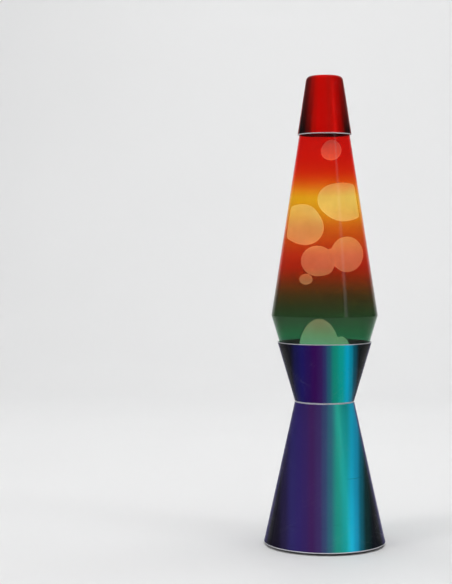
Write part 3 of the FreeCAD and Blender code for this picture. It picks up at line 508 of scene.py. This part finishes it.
# Colours up the bottle: height in millimetres, then the colour seen through it against a pale wall.
BOTTLE_STOPS = [
    (174, (12, 93, 58)),
    (182, (18, 83, 44)),
    (190, (28, 69, 37)),
    (198, (35, 55, 28)),
    (206, (46, 48, 21)),
    (214, (67, 47, 16)),
    (222, (98, 43, 12)),
    (230, (132, 37, 7)),
    (238, (160, 31, 5)),
    (248, (176, 38, 6)),
    (260, (187, 64, 7)),
    (272, (198, 90, 12)),
    (282, (212, 128, 16)),
    (290, (220, 148, 17)),
    (297, (224, 155, 10)),
    (303, (218, 124, 9)),
    (311, (207, 70, 6)),
    (319, (200, 34, 3)),
    (330, (195, 16, 3)),
    (345, (191, 9, 2)),
    (352, (186, 8, 2)),
]
WALL_LIGHT = 0.74


# Wax behind one coat of the same colour: height, then the colour seen.
WAX_SEEN = [
    (174, (95, 148, 107)),
    (182, (100, 134, 95)),
    (193, (105, 122, 86)),
    (197, (40, 60, 30)),
    (222, (90, 45, 15)),
    (227, (168, 102, 65)),
    (238, (194, 100, 67)),
    (246, (203, 110, 74)),
    (254, (204, 120, 77)),
    (262, (207, 128, 73)),
    (270, (212, 141, 79)),
    (278, (215, 152, 80)),
    (286, (220, 165, 85)),
    (294, (224, 180, 88)),
    (302, (220, 168, 88)),
    (310, (211, 103, 50)),
    (338, (208, 72, 55)),
]
WAX_GLOW_LOW, WAX_GLOW_HIGH = (1.25, 0.80, 0.74), (0.80, 0.82, 0.84)


def seen(rows, z):
    if z <= rows[0][0]:
        return lin(*rows[0][1])
    for (z0, c0), (z1, c1) in zip(rows, rows[1:]):
        if z <= z1:
            f = (z - z0) / (z1 - z0)
            return tuple(u + (v - u) * f for u, v in zip(lin(*c0), lin(*c1)))
    return lin(*rows[-1][1])


def coat_stops(share=0.86):
    """The coat's colour for one crossing: two crossings give the bottle's colour, and one gives the wax's."""
    z0, z1 = 130.0, 360.0
    heights = [130.0] + [float(z) for z, c in BOTTLE_STOPS] + [360.0]
    out = []
    for z in heights:
        two = seen(BOTTLE_STOPS, z)
        one = seen(WAX_SEEN, z)
        col = tuple(min(0.97, max((v / WALL_LIGHT) ** 0.5, share * w / g)) for v, w, g in zip(two, one, WAX_GLOW_LOW if z < 210 else WAX_GLOW_HIGH))
        out.append(((z - z0) / (z1 - z0), col))
    return out


def liquid_material():
    """Clear filling with a faint warm cast and slow streaks."""
    t = Tree("clear_filling")
    streak = t.noise(t.stretch(30.0, 30.0, 12.0), 1.0, 3.0, 0.5)
    clear = t.node("ShaderNodeBsdfTransparent")
    t.put(clear.inputs["Color"], t.ramp(streak, [(0.3, (0.975, 0.97, 0.96)), (0.7, (0.995, 0.99, 0.985))]))
    t.t.links.new(clear.outputs[0], t.out.inputs[0])
    return t


def bottle_material():
    """Clear glass with a translucent coating sprayed on its outer face, in colours that fade into one another up the bottle."""
    t = Tree("coated_glass")
    x, y, z = t.split()
    wave = t.noise(t.stretch(30.0, 30.0, 12.0), 1.0, 2.0, 0.5)
    mist = t.noise(t.stretch(700.0, 700.0, 700.0), 1.0, 3.0, 0.7)
    zs = t.math("ADD", z, t.math("MULTIPLY", t.math("SUBTRACT", wave, 0.5), 0.003))
    zs = t.math("ADD", zs, t.math("MULTIPLY", t.math("SUBTRACT", mist, 0.5), 0.0012))
    tint = t.ramp(t.range(zs, 0.130, 0.360), coat_stops()[:32])
    # the outer face is the one further out than halfway through the wall
    rho = t.math("SQRT", t.math("ADD", t.math("MULTIPLY", x, x), t.math("MULTIPLY", y, y)))
    upper = t.math("SUBTRACT", (45.35 + HIGH_SLOPE * 196.5) * MM, t.math("MULTIPLY", z, HIGH_SLOPE))
    lower = t.math("ADD", (26.98 - LOW_SLOPE * 135.0) * MM, t.math("MULTIPLY", z, LOW_SLOPE))
    throat = t.math("SUBTRACT", (19.67 + 0.808 * 362.0) * MM, t.math("MULTIPLY", z, 0.808))
    line = t.math("MAXIMUM", t.math("MINIMUM", throat, t.math("MINIMUM", upper, lower)), 0.0126)
    outer = t.range(t.math("SUBTRACT", rho, line), -0.0013, -0.0010)
    # the coat stops under the cap, and the neck is plain glass
    plain = t.range(z, 0.3635, 0.3665)
    colour = t.mix(outer, (0.985, 0.99, 0.985), t.mix(plain, tint, (0.86, 0.92, 0.89)))
    clear = t.node("ShaderNodeBsdfTransparent")
    t.put(clear.inputs["Color"], colour)
    gloss = t.node("ShaderNodeBsdfGlossy")
    gloss.inputs["Color"].default_value = (1, 1, 1, 1)
    smear = t.noise(t.stretch(60.0, 60.0, 25.0), 1.0, 4.0, 0.6)
    t.put(gloss.inputs["Roughness"], t.range(smear, 0.3, 0.75, 0.05, 0.13))
    wobble = t.noise(t.stretch(35.0, 35.0, 9.0), 1.0, 2.0, 0.5)
    bump = t.bump(wobble, 0.06, 0.002)
    t.put(gloss.inputs["Normal"], bump)
    mixer = t.node("ShaderNodeMixShader")
    t.put(mixer.inputs[0], t.math("MULTIPLY", t.math("ADD", t.sheen(bump, 0.02), t.math("MULTIPLY", plain, 0.05)), t.math("MULTIPLY_ADD", outer, 0.9, 0.1)))
    t.t.links.new(clear.outputs[0], mixer.inputs[1])
    t.t.links.new(gloss.outputs[0], mixer.inputs[2])
    t.t.links.new(mixer.outputs[0], t.out.inputs[0])
    return t


def wax_material():
    """Soft pale wax with a painted glow that stands for the bulb's light from below: brighter undersides, faint flow
    marks.
    """
    t = Tree("soft_wax")
    geo = t.node("ShaderNodeNewGeometry")
    nz = t.split(geo.outputs["Normal"])[2]
    flow = t.noise(t.stretch(70.0, 70.0, 45.0), 1.0, 3.0, 0.5)
    mottle = t.noise(t.stretch(320.0, 320.0, 320.0), 1.0, 3.0, 0.6)
    colour = t.ramp(t.math("ADD", t.math("MULTIPLY", flow, 0.75), t.math("MULTIPLY", mottle, 0.25)), [(0.3, lin(236, 222, 198)), (0.7, lin(250, 243, 228))])
    # painted light: the undersides glow brighter, as if lit by the bulb below
    under = t.range(nz, -1.0, 1.0, 1.0, 0.80)
    glow = t.mix(1.0, colour, t.ramp(under, [(0.0, (0, 0, 0)), (1.0, (1, 1, 1))]), "MULTIPLY")
    # painted glow, tinted by height: warmer low down, over the bulb
    glow_tint = [(196, (0.93, 0.62, 0.64)), (226, (0.535, 0.70, 0.90)), (252, (0.53, 0.70, 0.90)), (268, (0.47, 0.61, 0.98)),
            (296, (0.47, 0.60, 1.15)), (312, (0.48, 0.62, 1.05)), (326, (0.50, 0.72, 1.10))]
    glow = t.mix(1.0, glow, t.ramp(t.range(t.split()[2], 0.190, 0.340), [((z - 190) / 150, c) for z, c in glow_tint]), "MULTIPLY")
    body = t.mix(1.0, colour, (0.5, 0.5, 0.5), "MULTIPLY")
    # the emission is painted light: the wax is no lamp, and glows in place of the bulb's light
    t.principled(
        Base_Color=body, Roughness=t.range(mottle, 0.3, 0.7, 0.34, 0.46), Subsurface_Weight=0.2, Subsurface_Radius=(0.006, 0.005, 0.0035),
        Subsurface_Scale=1.0, Normal=t.bump(t.math("ADD", flow, t.math("MULTIPLY", mottle, 0.12)), 0.10, 0.0012),
        Emission_Color=glow, Emission_Strength=1.42,
    )
    return t


def steel(name, base=(0.62, 0.63, 0.65), rough=(0.28, 0.42), scale=(900.0, 900.0, 60.0), tone=None):
    t = Tree(name)
    grain = t.noise(t.stretch(*scale), 1.0, 3.0, 0.6)
    cloud = t.noise(t.stretch(90.0, 90.0, 90.0), 1.0, 4.0, 0.6)
    dark = tuple(v * 0.78 for v in base)
    colour = t.ramp(t.math("ADD", t.math("MULTIPLY", grain, 0.5), t.math("MULTIPLY", cloud, 0.5)), [(0.3, dark), (0.7, base)])
    if tone:
        colour = t.mix(t.range(cloud, 0.45, 0.75, 0.0, 0.35), colour, tone)
    t.principled(Base_Color=colour, Metallic=1.0, Roughness=t.range(grain, 0.25, 0.75, *rough), Normal=t.bump(grain, 0.12, 0.0002))
    return t


def plastic(name, base, rough=(0.42, 0.55), grain=1800.0, strength=0.18):
    t = Tree(name)
    fine = t.noise(t.coord, grain, 2.0, 0.6)
    cloud = t.noise(t.coord, 70.0, 3.0, 0.6)
    colour = t.ramp(cloud, [(0.3, tuple(v * 0.8 for v in base)), (0.7, tuple(min(1.0, v * 1.12) for v in base))])
    t.principled(Base_Color=colour, Roughness=t.range(fine, 0.3, 0.7, *rough), Normal=t.bump(fine, strength, 0.0003))
    return t


def felt_material():
    t = Tree("pressed_felt")
    fibre = t.noise(t.stretch(1600.0, 1600.0, 700.0), 1.0, 6.0, 0.75)
    colour = t.ramp(fibre, [(0.3, (0.008, 0.008, 0.009)), (0.7, (0.05, 0.05, 0.053))])
    t.principled(Base_Color=colour, Roughness=0.95, Sheen_Weight=0.5, Sheen_Roughness=0.4, Normal=t.bump(fibre, 0.8, 0.0006))
    return t


def bulb_material():
    """Reflector bulb: mirrored inside up to the rim, frosted face, lit."""
    t = Tree("reflector_bulb")
    z = t.split()[2]
    face = t.range(z, 0.1145, 0.1185, smooth=True)
    frost = t.noise(t.coord, 2600.0, 3.0, 0.6)
    streak = t.noise(t.stretch(220.0, 220.0, 40.0), 1.0, 3.0, 0.6)
    mirror = t.ramp(streak, [(0.3, lin(168, 168, 172)), (0.7, lin(214, 214, 216))])
    colour = t.mix(face, mirror, lin(250, 240, 220))
    glow = t.mix(face, (0, 0, 0), t.ramp(frost, [(0.2, lin(255, 190, 110)), (0.8, lin(255, 214, 150))]))
    t.principled(
        Base_Color=colour, Metallic=t.math("SUBTRACT", 1.0, face), Roughness=t.math("ADD", t.math("MULTIPLY", face, 0.4), t.range(streak, 0.3, 0.7, 0.10, 0.18)),
        Normal=t.bump(frost, 0.12, 0.0003), Emission_Color=glow, Emission_Strength=1.1,
    )
    return t


def clear_glass(name):
    t = Tree(name)
    seed = t.noise(t.coord, 900.0, 2.0, 0.5)
    clear = t.node("ShaderNodeBsdfTransparent")
    t.put(clear.inputs["Color"], t.ramp(seed, [(0.3, (0.86, 0.9, 0.88)), (0.7, (0.94, 0.96, 0.95))]))
    gloss = t.node("ShaderNodeBsdfGlossy")
    gloss.inputs["Roughness"].default_value = 0.04
    mixer = t.node("ShaderNodeMixShader")
    t.put(mixer.inputs[0], t.sheen(None, 0.04))
    t.t.links.new(clear.outputs[0], mixer.inputs[1])
    t.t.links.new(gloss.outputs[0], mixer.inputs[2])
    t.t.links.new(mixer.outputs[0], t.out.inputs[0])
    return t


SHADED_LACQUER, RED = shaded_base_lacquer(), cap_lacquer()
LIQUID, BOTTLE, WAX = liquid_material(), bottle_material(), wax_material()
ZINC = steel("zinc_plate", (0.66, 0.67, 0.68), (0.30, 0.45), (300.0, 300.0, 300.0), tone=(0.52, 0.56, 0.58))
SPRING = steel("spring_wire", (0.58, 0.58, 0.60), (0.22, 0.34), (400.0, 400.0, 400.0))
BRASS = steel("pressed_brass", (0.72, 0.50, 0.20), (0.26, 0.42), (500.0, 500.0, 120.0), tone=(0.45, 0.28, 0.12))
NICKEL = steel("nickel_plate", (0.70, 0.66, 0.58), (0.20, 0.32), (500.0, 500.0, 120.0))
SOLDER = steel("soft_solder", (0.50, 0.50, 0.50), (0.42, 0.58), (700.0, 700.0, 700.0))
TUNGSTEN = steel("tungsten", (0.30, 0.28, 0.26), (0.4, 0.5), (900.0, 900.0, 900.0))
TINPLATE = steel("lacquered_tinplate", (0.74, 0.60, 0.30), (0.22, 0.34), (260.0, 260.0, 260.0), tone=(0.55, 0.42, 0.22))
BLACK_COAT = plastic("powder_coat", (0.022, 0.022, 0.025), (0.45, 0.60), 2200.0, 0.5)
RUBBER = plastic("moulded_rubber", (0.040, 0.040, 0.042), (0.62, 0.78), 1500.0, 0.35)
PHENOLIC = plastic("moulded_phenolic", (0.030, 0.024, 0.020), (0.30, 0.42), 1300.0, 0.12)
PORCELAIN = plastic("steatite", (0.78, 0.75, 0.67), (0.45, 0.60), 900.0, 0.15)
VITRITE = plastic("black_vitrite", (0.010, 0.010, 0.012), (0.10, 0.18), 500.0, 0.05)
LINER = plastic("sealing_compound", (0.72, 0.72, 0.69), (0.40, 0.55), 900.0, 0.10)
FELT, BULB, MOUNT_GLASS = felt_material(), bulb_material(), clear_glass("bulb_mount_glass")

# ---------------------------------------------------------------- base


def shell_holes(obj, holes):
    """Cuts round holes through a shell: (centre, direction, radius), in metres."""
    for i, (c, d, r) in enumerate(holes):
        bm = bmesh.new()
        bmesh.ops.create_cone(bm, cap_ends=True, segments=40, radius1=r, radius2=r, depth=0.012)
        m = Matrix.Translation(Vector(c)) @ Vector(d).to_track_quat("Z", "Y").to_matrix().to_4x4()
        bmesh.ops.transform(bm, matrix=m, verts=bm.verts)
        tool = new_object("hole_tool_%d" % i, bm, smooth=False)
        mod = obj.modifiers.new("hole", "BOOLEAN")
        mod.operation, mod.solver, mod.object = "DIFFERENCE", "EXACT", tool
        dg = bpy.context.evaluated_depsgraph_get()
        mesh = bpy.data.meshes.new_from_object(obj.evaluated_get(dg))
        obj.modifiers.clear()
        obj.data = mesh
        bpy.data.objects.remove(tool)
    obj.data.polygons.foreach_set("use_smooth", [True] * len(obj.data.polygons))
    crisp(obj.data)


z_w = 123.0
foot = lathe(
    "foot_cone_shell",
    rounded(
        [
            (52.0, 2.0),
            (52.0 - 0.05, 3.2),
            (foot_r(4.0) - 0.02, 4.0),
            (25.25, z_w),
            (20.6, z_w),
            (20.6, z_w - WALL),
            (foot_r(z_w - WALL) - WALL, z_w - WALL),
            (foot_r(4.2) - WALL, 4.2),
            (43.0, 4.2),
            (43.0, 3.2),
            (foot_r(3.2) - WALL, 3.2),
            (foot_r(2.0) - WALL, 2.0),
        ],
        {0: 0.5, 3: 0.9, 4: 0.3, 5: 0.3, 6: 0.8, 7: 0.6, 11: 0.4},
        6,
    ),
    "base",
    seg=192,
)
lean = math.atan(FOOT_SLOPE)
g_axis = Vector((0.0, math.cos(lean), math.sin(lean)))
g_mid = Vector((0.0, (foot_r(18.0) - WALL / 2) * MM, 0.018))
holes = [((math.cos(a) * 0.0225, math.sin(a) * 0.0225, 0.1225), (0, 0, 1), 0.00095) for a in map(math.radians, (90, 210, 330))]
holes += [((math.cos(a) * 0.0468, math.sin(a) * 0.0468, 0.0037), (0, 0, 1), 0.00145) for a in map(math.radians, (90, 210, 330))]
shell_holes(foot, holes + [(g_mid, g_axis, 0.0056)])
paint(foot, SHADED_LACQUER)
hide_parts("foot_cone")

cup = lathe(
    "cup_cone_shell",
    rounded(
        [
            (25.25, z_w),
            (40.25, 174.0),
            (40.25 - WALL, 174.0),
            (cup_r(z_w + WALL) - WALL, z_w + WALL),
            (20.6, z_w + WALL),
            (20.6, z_w),
        ],
        {0: 0.9, 1: 0.45, 2: 0.45, 3: 0.8, 4: 0.3, 5: 0.3},
        6,
    ),
    "base",
    seg=192,
)
shell_holes(cup, [((math.cos(a) * 0.0225, math.sin(a) * 0.0225, 0.1236), (0, 0, 1), 0.00095) for a in map(math.radians, (90, 210, 330))])
paint(cup, SHADED_LACQUER)
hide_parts("cup_cone")

for node in ("waist_rivets", "bottle_seat_ring", "plate_screws", "bracket_screws", "holder_bracket", "holder_nipple", "star_washer"):
    dress(node, ZINC)
for node in ("earth_screw", "nipple_nut", "terminal_screws", "holder_shell", "holder_contact"):
    dress(node, BRASS)
dress("bottom_plate", BLACK_COAT)
for node in ("rubber_feet", "cord_gland"):
    dress(node, RUBBER)
for node in ("holder_dome", "holder_skirt"):
    dress(node, PHENOLIC)
dress("holder_insert", PORCELAIN)
dress("bulb_screw_cap", NICKEL)
dress("bulb_insulator", VITRITE)
dress("bulb_tip_contact", SOLDER)
dress("bulb_glass", BULB)
dress("bulb_stem", MOUNT_GLASS)
dress("bulb_supports", SPRING)
dress("bulb_filament", TUNGSTEN)
dress("crown_cork", TINPLATE)
dress("crown_liner", LINER)
dress("cap_pad", FELT)

# ---------------------------------------------------------------- cap

cap = lathe(
    "cap_spun_shell",
    rounded(
        [
            (cap_r(350.0), 350.0),
            (15.25, 400.0),
            (0.0, 400.0),
            (0.0, 399.0),
            (cap_r(399.0) - WALL, 399.0),
            (cap_r(350.0) - WALL, 350.0),
        ],
        {0: 0.5, 1: 4.2, 4: 3.2, 5: 0.4},
        10,
    ),
    "cap",
    seg=160,
    step=4.0,
)
paint(cap, RED)
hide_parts("cap_shell")

# ---------------------------------------------------------------- bottle

bottle = lathe(
    "bottle_shell",
    rounded(
        [
            (0.0, 136.3),
            (19.3, 136.3),
            (21.3, 135.0),
            (26.98, 135.0),
            (45.35, 196.5),
            (19.67, 362.0),
            (12.8, 370.5),
            (12.8, 386.4),
            (13.3, 387.3),
            (13.3, 393.1),
            (12.5, 393.9),
            (9.5, 393.9),
            (9.5, 370.0),
            (19.67 - GLASS, 361.5),
            (45.35 - GLASS, 196.5),
            (low_r(138.7) - GLASS, 138.7),
            (0.0, 138.7),
        ],
        {1: 2.0, 2: 1.0, 3: 1.6, 4: 2.6, 5: 6.0, 6: 4.0, 8: 0.4, 10: 0.5, 11: 0.6, 12: 4.0, 13: 5.0, 14: 1.6, 15: 1.5},
        8,
    ),
    "bottle",
    seg=192,
    step=5.0,
)
paint(bottle, BOTTLE)
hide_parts("bottle_glass")

g = GLASS + 0.08
liquid = lathe(
    "liquid_filling",
    rounded(
        [(0.0, 138.8), (low_r(138.8) - g - 0.6, 138.8), (45.35 - g, 196.5), (high_r(357.0) - g, 357.0), (0.0, 357.0)],
        {1: 1.6, 2: 1.6},
        8,
    ),
    "bottle",
    seg=192,
    step=5.0,
)
paint(liquid, LIQUID)
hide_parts("liquid")

# ---------------------------------------------------------------- wax


def wall_limit(z_mm, film=0.6):
    return glass_r(z_mm) - GLASS - film


def soften(co, seed, amount_mm, size_mm):
    """Slow, smooth swelling and sinking of a blob's surface along its normal from the centre."""
    c = co.mean(0)
    out = co.copy()
    for i, p in enumerate(co):
        q = Vector(p / size_mm) + Vector((seed * 7.31, seed * 3.17, seed * 5.93))
        n = noise.noise(q)
        d = p - c
        d /= np.linalg.norm(d) + 1e-9
        out[i] = p + d * n * amount_mm
    return out


def press(co, film=0.6, soft=2.2):
    """Flattens a blob against the bottle's wall, with a rounded edge to the flat."""
    out = co.copy()
    for i, (x, y, z) in enumerate(co):
        rho = math.hypot(x, y)
        if rho < 1e-6:
            continue
        limit = wall_limit(z, film)
        # smooth minimum of the blob's own radius and the wall's
        h = max(0.0, min(1.0, 0.5 + 0.5 * (rho - limit) / soft))
        r = rho * (1 - h) + limit * h - soft * h * (1 - h)
        out[i, 0], out[i, 1] = x * r / rho, y * r / rho
    return out


def lean_on(co, centre, pushes):
    """Pushes the surface out (or draws it in) towards a few directions: (direction, millimetres, spread in degrees)."""
    c = np.array(centre, float)
    d = co - c
    u = d / (np.linalg.norm(d, axis=1)[:, None] + 1e-9)
    out = co.copy()
    for way, mm, spread in pushes:
        w = np.array(way, float)
        w /= np.linalg.norm(w)
        ang = np.degrees(np.arccos(np.clip(u @ w, -1.0, 1.0)))
        out += u * (mm * np.exp(-((ang / spread) ** 2)))[:, None]
    return out


def blob_mesh(name, centre, half, seed, body, rough=0.0, pushes=(), film=0.25):
    bm = bmesh.new()
    bmesh.ops.create_icosphere(bm, subdivisions=6, radius=1.0)
    co = np.array([v.co for v in bm.verts], float) * np.array(half, float) + np.array(centre, float)
    co = lean_on(co, centre, pushes)
    co = soften(co, seed, rough, max(half) * 0.9)
    co = press(co, film, 1.2)
    for v, p in zip(bm.verts, co):
        v.co = Vector(p * MM)
    obj = new_object(name, bm)
    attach(obj, body)
    paint(obj, WAX)
    return obj


top = blob_mesh("wax_drop_top", (5.6, 3.0, 337.5), (8.75, 8.75, 8.75), 1, "blob_top", rough=0.15, pushes=[((-0.8, 0, 0.6), -0.85, 32), ((-0.75, 0, -0.65), 0.4, 30)])
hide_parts("wax_top")
right = blob_mesh(
    "wax_blob_right", (15.0, -6.0, 293.0), (20.5, 15.0, 16.4), 2, "blob_right", rough=0.3,
    pushes=[((-0.85, 0, 0.5), 1.4, 30), ((-0.8, 0, -0.6), -1.3, 32), ((0.8, 0, -0.6), 0.9, 26)], film=0.7,
)
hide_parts("wax_right")
left = blob_mesh(
    "wax_blob_left", (-19.3, 7.0, 273.7), (19.3, 15.0, 18.0), 3, "blob_left", rough=0.3,
    pushes=[((0.88, 0, 0.46), -1.8, 33), ((-0.5, 0, -0.86), -1.9, 42), ((0.7, 0, -0.7), 0.6, 26)],
)
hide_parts("wax_left")
tiny = blob_mesh("wax_drop_tiny", (-15.7, -14.0, 227.6), (5.6, 5.4, 4.55), 4, "blob_tiny", rough=0.12)
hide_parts("wax_tiny")


def remeshed(name, parts, voxel_mm, smooth_rounds, body, press_it=True, film=0.5):
    """Joins closed meshes into one skin, then smooths the joints so that they run together like wax."""
    bm = bmesh.new()
    for m in parts:
        bm.from_mesh(m)
        bpy.data.meshes.remove(m)
    obj = new_object(name, bm)
    mod = obj.modifiers.new("skin", "REMESH")
    mod.mode, mod.voxel_size, mod.use_smooth_shade = "VOXEL", voxel_mm * MM, True
    sm = obj.modifiers.new("run", "SMOOTH")
    sm.factor, sm.iterations = 0.5, smooth_rounds
    dg = bpy.context.evaluated_depsgraph_get()
    mesh = bpy.data.meshes.new_from_object(obj.evaluated_get(dg))
    obj.modifiers.clear()
    obj.data = mesh
    co = np.empty(len(mesh.vertices) * 3)
    mesh.vertices.foreach_get("co", co)
    co = co.reshape(-1, 3) / MM
    if press_it:
        co = press(co, film)
    mesh.vertices.foreach_set("co", (co * MM).ravel())
    mesh.update()
    mesh.polygons.foreach_set("use_smooth", [True] * len(mesh.polygons))
    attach(obj, body)
    paint(obj, WAX)
    return obj


def ball(centre, half, pushes=()):
    bm = bmesh.new()
    bmesh.ops.create_icosphere(bm, subdivisions=5, radius=1.0)
    co = np.array([v.co for v in bm.verts], float) * np.array(half, float) + np.array(centre, float)
    co = lean_on(co, centre, pushes)
    for v, p in zip(bm.verts, co):
        v.co = Vector(p * MM)
    m = bpy.data.meshes.new("ball")
    bm.to_mesh(m)
    bm.free()
    return m


def turned(outline, seg=96):
    bm = bmesh.new()
    rings = []
    for r, z in outline:
        rings.append([bm.verts.new((0, 0, z * MM))] if r < 1e-6 else [bm.verts.new((r * MM * math.cos(2 * math.pi * k / seg), r * MM * math.sin(2 * math.pi * k / seg), z * MM)) for k in range(seg)])
    for a, b in zip(rings, rings[1:]):
        for k in range(seg):
            k2 = (k + 1) % seg
            if len(a) == 1:
                bm.faces.new((a[0], b[k], b[k2]))
            elif len(b) == 1:
                bm.faces.new((a[k], b[0], a[k2]))
            else:
                bm.faces.new((a[k], b[k], b[k2], a[k2]))
    bmesh.ops.recalc_face_normals(bm, faces=bm.faces)
    m = bpy.data.meshes.new("turned")
    bm.to_mesh(m)
    bm.free()
    return m


pair = remeshed(
    "wax_blob_pair",
    [
        ball((-6.1, -1.0, 242.9), (14.0, 13.2, 13.0), [((0.8, 0, -0.6), 1.7, 26)]),
        ball((19.1, -1.0, 248.5), (13.8, 13.8, 15.1)),
        ball((6.3, -1.0, 246.4), (6.0, 8.2, 7.2)),
    ],
    0.55,
    7,
    "blob_pair",
)
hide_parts("wax_pair")

# The groove over the coil is left open in the wax by starting the skin above the coil's ring.
mound = remeshed(
    "wax_mound_skin",
    [
        turned([(0.0, 144.2), (low_r(144.2) - GLASS - 0.7, 144.2), (low_r(155.0) - GLASS - 0.6, 155.0), (26.0, 159.5), (16.0, 163.0), (0.0, 164.0)]),
        ball((-4.6, 0.0, 166.0), (17.2, 16.7, 27.3)),
        ball((14.2, -3.0, 158.9), (9.3, 10.0, 19.6)),
    ],
    0.6,
    6,
    "bottle",
)
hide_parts("wax_mound")

# The heating coil: a close-wound spring whose ends meet in a ring.
def coil_spring(name, ring, rad, wire, turns, z0, body):
    per, sides = 14, 8
    n = turns * per
    path = []
    for i in range(n):
        a = 2 * math.pi * i / n
        b = 2 * math.pi * turns * i / n
        r = ring + rad * math.cos(b)
        path.append(Vector((r * math.cos(a), r * math.sin(a), z0 + rad * math.sin(b))))
    bm = bmesh.new()
    rings = []
    for i in range(n):
        p, q, s = path[i - 1], path[i], path[(i + 1) % n]
        tan = (s - p).normalized()
        centre = Vector((q.x, q.y, 0)).normalized() * ring
        out = (q - Vector((centre.x, centre.y, z0))).normalized()
        side = tan.cross(out).normalized()
        rings.append([bm.verts.new((q + (out * math.cos(2 * math.pi * k / sides) + side * math.sin(2 * math.pi * k / sides)) * wire) * MM) for k in range(sides)])
    for i in range(n):
        a, b = rings[i], rings[(i + 1) % n]
        for k in range(sides):
            k2 = (k + 1) % sides
            bm.faces.new((a[k], b[k], b[k2], a[k2]))
    obj = new_object(name, bm)
    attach(obj, body)
    return obj


coil = coil_spring("heating_coil_spring", 18.8, 1.75, 0.32, 84, 138.7 + 2.25, "bottle")
paint(coil, SPRING)
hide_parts("heating_coil")

# ---------------------------------------------------------------- stage


def stage_material(name, colour):
    t = Tree(name)
    n = t.noise(t.stretch(3.0, 3.0, 3.0), 1.0, 3.0, 0.5)
    t.principled(Base_Color=t.ramp(n, [(0.3, tuple(v * 0.985 for v in colour)), (0.7, colour)]), Roughness=0.62, Specular_IOR_Level=0.25)
    # past the lit part of the floor the paper fades into the pale walls
    x, y, z = t.split()
    away = t.math("MAXIMUM", t.math("ABSOLUTE", x), t.math("MULTIPLY", y, -1.0))
    solid = t.out.inputs[0].links[0].from_socket
    clear = t.node("ShaderNodeBsdfTransparent")
    fade = t.node("ShaderNodeMixShader")
    t.put(fade.inputs[0], t.range(away, 0.95, 1.9, smooth=True))
    t.t.links.new(solid, fade.inputs[1])
    t.t.links.new(clear.outputs[0], fade.inputs[2])
    t.t.links.new(fade.outputs[0], t.out.inputs[0])
    return t


bm = bmesh.new()
profile = [(-2.6, 0.0), (1.2, 0.0)]
profile += [(1.2 + 0.8 * math.sin(a), 0.8 - 0.8 * math.cos(a)) for a in (math.radians(4.5 * k) for k in range(1, 21))]
profile += [(2.0, 4.0)]
rows = [[bm.verts.new((x, y, z)) for x in (-2.6, 2.6)] for y, z in profile]
for a, b in zip(rows, rows[1:]):
    bm.faces.new((a[0], a[1], b[1], b[0]))
cyc = new_object("studio_sweep", bm)
paint(cyc, stage_material("studio_paper", (0.83, 0.83, 0.83)))

# A pale shell closes the room on its open sides. It is only seen, and throws no light or reflection on the lamp.
room = bmesh.new()
bmesh.ops.create_uvsphere(room, u_segments=64, v_segments=32, radius=8.0)
far = new_object("studio_far_walls", room)
glow = Tree("studio_far_paper")
shine = glow.node("ShaderNodeEmission")
glow.put(shine.inputs["Color"], glow.ramp(glow.noise(glow.stretch(0.3, 0.3, 0.3), 1.0, 2.0, 0.5), [(0.3, (0.70, 0.71, 0.72)), (0.7, (0.76, 0.77, 0.78))]))
glow.t.links.new(shine.outputs[0], glow.out.inputs[0])
paint(far, glow)
far.visible_diffuse = far.visible_glossy = far.visible_shadow = far.visible_volume_scatter = False

world = bpy.data.worlds.new("studio")
world.use_nodes = True
world.node_tree.nodes["Background"].inputs[0].default_value = (0.95, 0.97, 1.0, 1.0)
world.node_tree.nodes["Background"].inputs[1].default_value = 0.18
bpy.context.scene.world = world
# Plain colour, so that the saturated lacquers come out as they are mixed.
bpy.context.scene.view_settings.view_transform = "Standard"


def softbox(name, place, aim, size, power, colour=(1, 1, 1)):
    data = bpy.data.lights.new(name, "AREA")
    data.shape, data.size, data.size_y = "RECTANGLE", size[0], size[1]
    data.energy, data.color = power, colour
    o = bpy.data.objects.new(name, data)
    bpy.context.scene.collection.objects.link(o)
    o.location = place
    o.rotation_mode = "QUATERNION"
    o.rotation_quaternion = (Vector(aim) - Vector(place)).to_track_quat("-Z", "Y")
    return o


key = softbox("key_left", (-1.15, -0.95, 0.75), (0, 0, 0.22), (0.5, 1.1), 8.0)
fill = softbox("fill_right", (1.35, -0.75, 0.55), (0, 0, 0.22), (0.35, 1.2), 5.2)
top_light = softbox("top", (0.0, -0.2, 2.1), (0, 0.2, 0.0), (2.2, 1.6), 25.0)
wash = softbox("wall_wash", (0.0, 0.5, 1.9), (0, 2.0, 0.6), (2.6, 0.5), 19.0)
# a faint strip that the gloss picks up, and nothing else does
strip = softbox("strip", (1.0, -0.9, 0.5), (0, 0, 0.22), (0.16, 1.0), 0.8)
strip.visible_diffuse = False
for lamp in (key, fill, top_light, wash):
    lamp.visible_glossy = False

# ---------------------------------------------------------------- camera

cam_data = bpy.data.cameras.new("camera")
cam_data.sensor_width = 36.0
cam_data.lens = 1430.0 * 36.0 / 584.0
cam_data.clip_start, cam_data.clip_end = 0.05, 30.0
cam = bpy.data.objects.new("camera", cam_data)
bpy.context.scene.collection.objects.link(cam)
bpy.context.scene.camera = cam
# The camera stands level with the upper bottle and sees the lamp's axis upright, right of the frame's centre.
a, b, c = Vector((98.5, 47.0, 1430.0)).normalized()
s = -1.0
q = -s * (a * a + c * c) / (b * c)
p = (a / c) * s
up = Vector((p, q, s)).normalized()          # the row's Z in (right, up, forward)
fwd = Vector((a, b, c))                      # the row's Y in (right, up, forward)
flat = fwd.cross(up) * -1.0
# right x up = -forward in this left-handed triple, so X is checked to point to the right
if flat.x < 0:
    flat.negate()
rows = [flat, fwd, up]
right_w = Vector((rows[0][0], rows[1][0], rows[2][0]))
up_w = Vector((rows[0][1], rows[1][1], rows[2][1]))
fwd_w = Vector((rows[0][2], rows[1][2], rows[2][2]))
rot = Matrix((right_w, up_w, -fwd_w)).transposed()
cam.rotation_mode = "QUATERNION"
cam.rotation_quaternion = rot.to_quaternion()
cam.location = (0.0, -1.225, 0.2565)
